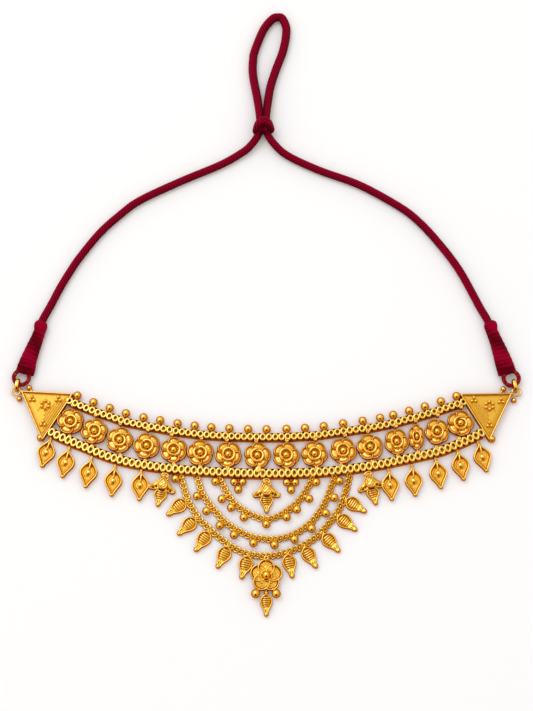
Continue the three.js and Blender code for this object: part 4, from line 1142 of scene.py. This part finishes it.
def centreFlower(s):
    # five lobes round a ball in a collar, balls on bars below, and a bail above
    lobes = [moved(moved(flowerLobe(s["lobe"]), shift=(0, s["reach"], lift)), k * 360 / s["lobes"])
             for k, lift in enumerate(s["lift"])]
    bright = [ball((0, 0, s["ballHeight"]), s["ball"], 24, 14)]
    bright += [ball((x, y, r), r, 22, 14) for x, y, r in s["balls"]]
    bright += [wire([(x, y, r), (x * 0.6, -3.9, r)], 0.4, smooth=False) for x, y, r in s["balls"]]
    bright += [hoop((0, 5.6, 1.5), 0.6, 0.28, 20), ball((0, 4.95, 1.8), 0.6, 14, 8)]
    # the collar round the ball is painted in shade, least on its top
    return [[moved(g, shift=(0, s["y"], 0)) for g in group]
            for group in (lobes + [spin(s["collar"], 32, recess=s["collarShade"])], bright)]


makePiece("centreFlower", centreFlower(flowerSettings), ["centre_flower"],
          [leafGold, polishedGold])

pendantSettings = dict(top=-31.7, leaf=(6.4, 3.95, 1.5, 0.76))
makePiece("pendantLeaf", [[moved(g, shift=(0, pendantSettings["top"], 0))]
                          for g in stripedLeaf(*pendantSettings["leaf"])],
          ["pendant_leaf"], [leafGold, polishedGold])
print("stage: centre flower")


# end plates

plateSettings = dict(
    thick=2.4, rim=0.42, recess=0.42, ridges=10, ridgePitch=0.66, ridge=0.22, edge=0.24, edgeInset=0.22,
    left=dict(outer=(-80.3, 34.9), inner=(-63.1, 33.9), bottom=(-72.7, 18), knob=(-73.4, 19.3, 1.2),
              edgeBalls=[(-77.7, 36.2), (-80.8, 32.4)], trios=[(-76.5, 32.1), (-67.9, 32), (-72.6, 23.8)],
              flower=(-72.1, 30.2), ring=(-82, 35)),
    right=dict(outer=(80.4, 34.1), inner=(63.3, 33.8), bottom=(72.4, 17.9), knob=(73.2, 18.8, 1.25),
               edgeBalls=[(77.7, 35.8), (81, 31.9)], trios=[(67.8, 31.8), (76.7, 31.4), (72.6, 23.4)],
               flower=(72.8, 29.9), ring=(81.9, 34.7)),
    granule=0.62, granuleHeight=0.32, trio=0.76, sixRing=1.28, edgeBall=0.92, ringSize=(1.4, 0.29),
    solder=0.7)


def triangleOutline(corners, soft=0.16, count=120):
    # three straight sides with their corners taken off by a short arc
    ends = []
    for i in range(3):
        before, here, after = corners[i - 1], corners[i], corners[(i + 1) % 3]
        ends += [here + unit(before - here) * soft, here + unit(before + after - 2 * here) * soft * 0.45,
                 here + unit(after - here) * soft]
    return evenly(np.vstack([ends, ends[:1]]), count, True)


def endPlate(part, s):
    # a rimmed triangle with a bright edge, ridges along its inner side, granules in threes and
    # sixes on its floor, balls at its edges, and the end ring
    corners = np.array([part["outer"], part["inner"], part["bottom"]], float)
    outer, inner, bottom = corners
    sides = np.linalg.norm(corners - np.roll(corners, -1, 0), axis=1)
    weights = np.roll(sides, -1)
    centre = (corners * weights[:, None]).sum(0) / weights.sum()
    t, floor, rim = s["thick"], s["thick"] - s["recess"], s["rim"]
    # a triangle moved inwards is the same triangle shrunk about its centre
    (ax, ay), (bx, by) = inner - outer, bottom - outer
    shrink = sides.sum() / abs(ax * by - ay * bx)
    outline = triangleOutline(corners)
    # the steps' recess paints shade on the plate's outer side and in the groove under the rim
    steps = [(0.12, 0, 0.6), (0, 0.12, 0.5), (0, t - 0.5, 0.3), (0.02, t - 0.15, 0.1), (0.1, t, 0),
             (0.26, t + 0.02, 0), (rim, t - 0.08, 0), (rim + 0.06, floor - 0.06, 0.7),
             (rim + 0.24, floor - 0.06, 0.6), (rim + 0.34, floor, 0.05), (2.2, floor, 0),
             (0.9 / shrink, floor, 0)]  # (inset, height, recess)
    satin = [relief(outline, centre, [(0, inset * shrink, z, deep) for inset, z, deep in steps])]
    across = unit(bottom - inner)
    inward = np.array([-across[1], across[0]])
    inward *= np.sign(inward @ (outer - inner))
    for k in range(s["ridges"]):
        off = 0.85 + k * s["ridgePitch"]
        a = inner + inward * off + across * (1.6 + 1.05 * k)
        b = bottom + inward * off - across * (1.0 + 1.25 * k)
        z = floor + 0.02 - 0.012 * k
        satin.append(wire([(*a, z), (*((a + b) / 2), z + 0.03), (*b, z)], s["ridge"]))
    edge = centre + (outline - centre) * (1 - s["edgeInset"] * shrink)
    edge = np.column_stack([edge, np.full(len(edge), t - 0.04)])
    stones = [spot for place in part["trios"] for spot in ringOf(place, s["trio"], 3)]
    stones += ringOf(part["flower"], s["sixRing"], 6)
    x, y, r = part["knob"]
    (x0, y0), (x1, y1) = part["edgeBalls"]
    bright = [sweep(edge, roundSection(8, s["edge"], s["edge"]), True),
              manyBalls([(*spot, floor + s["granuleHeight"]) for spot in stones], s["granule"], 14, 8),
              ball((x, y, r), r, 22, 12),
              ball((x0, y0, 0.95), s["edgeBall"], 18, 10), ball((x1, y1, 0.95), s["edgeBall"], 18, 10),
              wire([(x0, y0, 0.85), (x0 * 0.985, y0 - 1.6, 0.85)], 0.35, smooth=False),
              hoop((*part["ring"], 1.3), *s["ringSize"], 32, 10), ball((*outer, 1.2), s["solder"], 14, 8)]
    return [satin, bright]


for sideName in ("left", "right"):
    makePiece("endPlate." + sideName, endPlate(plateSettings[sideName], plateSettings),
              ["end_plate_" + sideName], [plateGold, polishedGold])

linkSettings = dict(left=((-81.9, 34.9), (-81.3, 38.9)), right=((81.8, 34.6), (81.0, 38.7)),
                    width=1.25, wall=0.42, height=3.3)


def jumpBand(ends, s):
    # a flat band bent to an upright oval, through the end ring and the wound ring
    (x0, y0), (x1, y1) = ends
    length = np.hypot(x1 - x0, y1 - y0) + s["wall"]
    out = roundSection(40)
    oval = out * ((length - s["wall"]) / 2, (s["height"] - s["wall"]) / 2) + (0, s["height"] / 2)
    section = squared(roundSection(12), 0.6) * (s["width"] / 2, s["wall"] / 2)
    flat = oval[:, None] + out[:, None] * section[None, :, 1:]
    wide = section[None, :, 0] * np.interp(out[:, 0], [-1, -0.4, 1], [0.55, 1, 1])[:, None]
    band = surface(np.dstack([flat[..., 0], wide, flat[..., 1]]), True)
    return moved(band, np.degrees(np.arctan2(y1 - y0, x1 - x0)), ((x0 + x1) / 2, (y0 + y1) / 2, 0))


for sideName in ("left", "right"):
    makePiece("jumpRing." + sideName, [[jumpBand(linkSettings[sideName], linkSettings)]],
              ["jump_ring_" + sideName], [polishedGold])
print("stage: end plates")


# floor, light and sky

floorSettings = dict(size=3.0, colour=(0.93, 0.93, 0.93, 1), mirrored=(0.55, 0.2, 0.006, 1), rough=0.9)


def makeFloor(s):
    # a flat square that reaches its size each way; polished metal sees it darker than the eye does
    size = s["size"]
    mesh = bpy.data.meshes.new("floor")
    square = [(-size, -size, 0), (size, -size, 0), (size, size, 0), (-size, size, 0)]
    mesh.from_pydata(square, [], [(0, 1, 2, 3)])
    floor = bpy.data.objects.new("floor", mesh)
    bpy.context.scene.collection.objects.link(floor)
    material, tree, shader = newMaterial("white table")
    shader["Roughness"].default_value = s["rough"]
    shader["Specular IOR Level"].default_value = 0.0
    glossy = node(tree, "ShaderNodeLightPath").outputs["Is Glossy Ray"]
    tree.links.new(blendColours(tree, glossy, s["colour"], s["mirrored"]), shader["Base Color"])
    mesh.materials.append(material)
    floor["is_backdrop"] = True


skySettings = dict(
    level=0.69, slope=0.33, green=2.2, blue=8.0,
    lobe=(1.3, 1.3, 4.0), lobeAt=(-0.33, 0.43, 0.84), lobeEdge=(0.93, 0.99),
    patch=0.9, patchAt=(0.0, -0.72, 0.69), patchEdge=(0.85, 0.95),
    ambient=(0.97, 0.957, 0.92), thrown=(0.62, 0.4, 0.3))
lampSettings = dict(power=1.4, place=(-0.32, 0.42, 0.8), aim=(0, 0.05, 0), size=0.5)


def makeSky(s):
    # metal sees a dome that dims and warms away from the lamp's side, with one dark patch;
    # matt surfaces see an even white one, and a dimmer one by way of the metal
    world = bpy.data.worlds.new("studio")
    bpy.context.scene.world = world
    world.use_nodes = True
    tree = world.node_tree
    tree.nodes.clear()
    aim = node(tree, "ShaderNodeTexCoord").outputs["Generated"]

    def towards(direction):
        # cosine of the angle to a direction
        terms = [(0, aim), (1, Vector(direction).normalized())]
        return node(tree, "ShaderNodeVectorMath", terms, operation="DOT_PRODUCT").outputs["Value"]

    def edge(direction, limits, low, high):
        # from low to high as that cosine passes its limits
        return mapped(tree, towards(direction), *limits, low, high, interpolation_type="SMOOTHSTEP")

    slope = maths(tree, "MULTIPLY_ADD", towards(s["lobeAt"]), s["slope"], s["level"])
    level = maths(tree, "MULTIPLY", slope, edge(s["patchAt"], s["patchEdge"], 1.0, 1 - s["patch"]))
    warm = node(tree, "ShaderNodeCombineColor", [(0, level), (1, maths(tree, "POWER", level, s["green"])),
                                                 (2, maths(tree, "POWER", level, s["blue"]))]).outputs[0]
    warm = blendColours(tree, edge(s["lobeAt"], s["lobeEdge"], 0.0, 1.0), warm, (*s["lobe"], 1))
    path = node(tree, "ShaderNodeLightPath").outputs
    thrown = maths(tree, "GREATER_THAN", path["Diffuse Depth"], 0.5)
    warm = blendColours(tree, thrown, warm, (*s["thrown"], 1))
    colour = blendColours(tree, path["Is Diffuse Ray"], warm, (*s["ambient"], 1))
    colour = blendColours(tree, path["Is Camera Ray"], colour, (1, 1, 1, 1))
    background = node(tree, "ShaderNodeBackground", [("Color", colour), ("Strength", 1.0)])
    output = node(tree, "ShaderNodeOutputWorld")
    tree.links.new(background.outputs[0], output.inputs["Surface"])


def makeLamp(s):
    # a round soft lamp, aimed at the middle of the necklace
    data = bpy.data.lights.new("softbox", "AREA")
    data.shape = "DISK"
    data.size = s["size"]
    data.energy = s["power"]
    lamp = bpy.data.objects.new("softbox", data)
    lamp.location = Vector(s["place"])
    lamp.rotation_euler = (Vector(s["aim"]) - Vector(s["place"])).to_track_quat("-Z", "Y").to_euler()
    bpy.context.scene.collection.objects.link(lamp)


makeFloor(floorSettings)
makeSky(skySettings)
makeLamp(lampSettings)
bpy.context.scene.view_settings.view_transform = "Standard"
print("stage: light set")


def corners(box):
    # plain numbers of a box's two corners
    return [list(map(float, corner)) for corner in box]


{"cad": corners(cadBox), "visual": corners(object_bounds())}
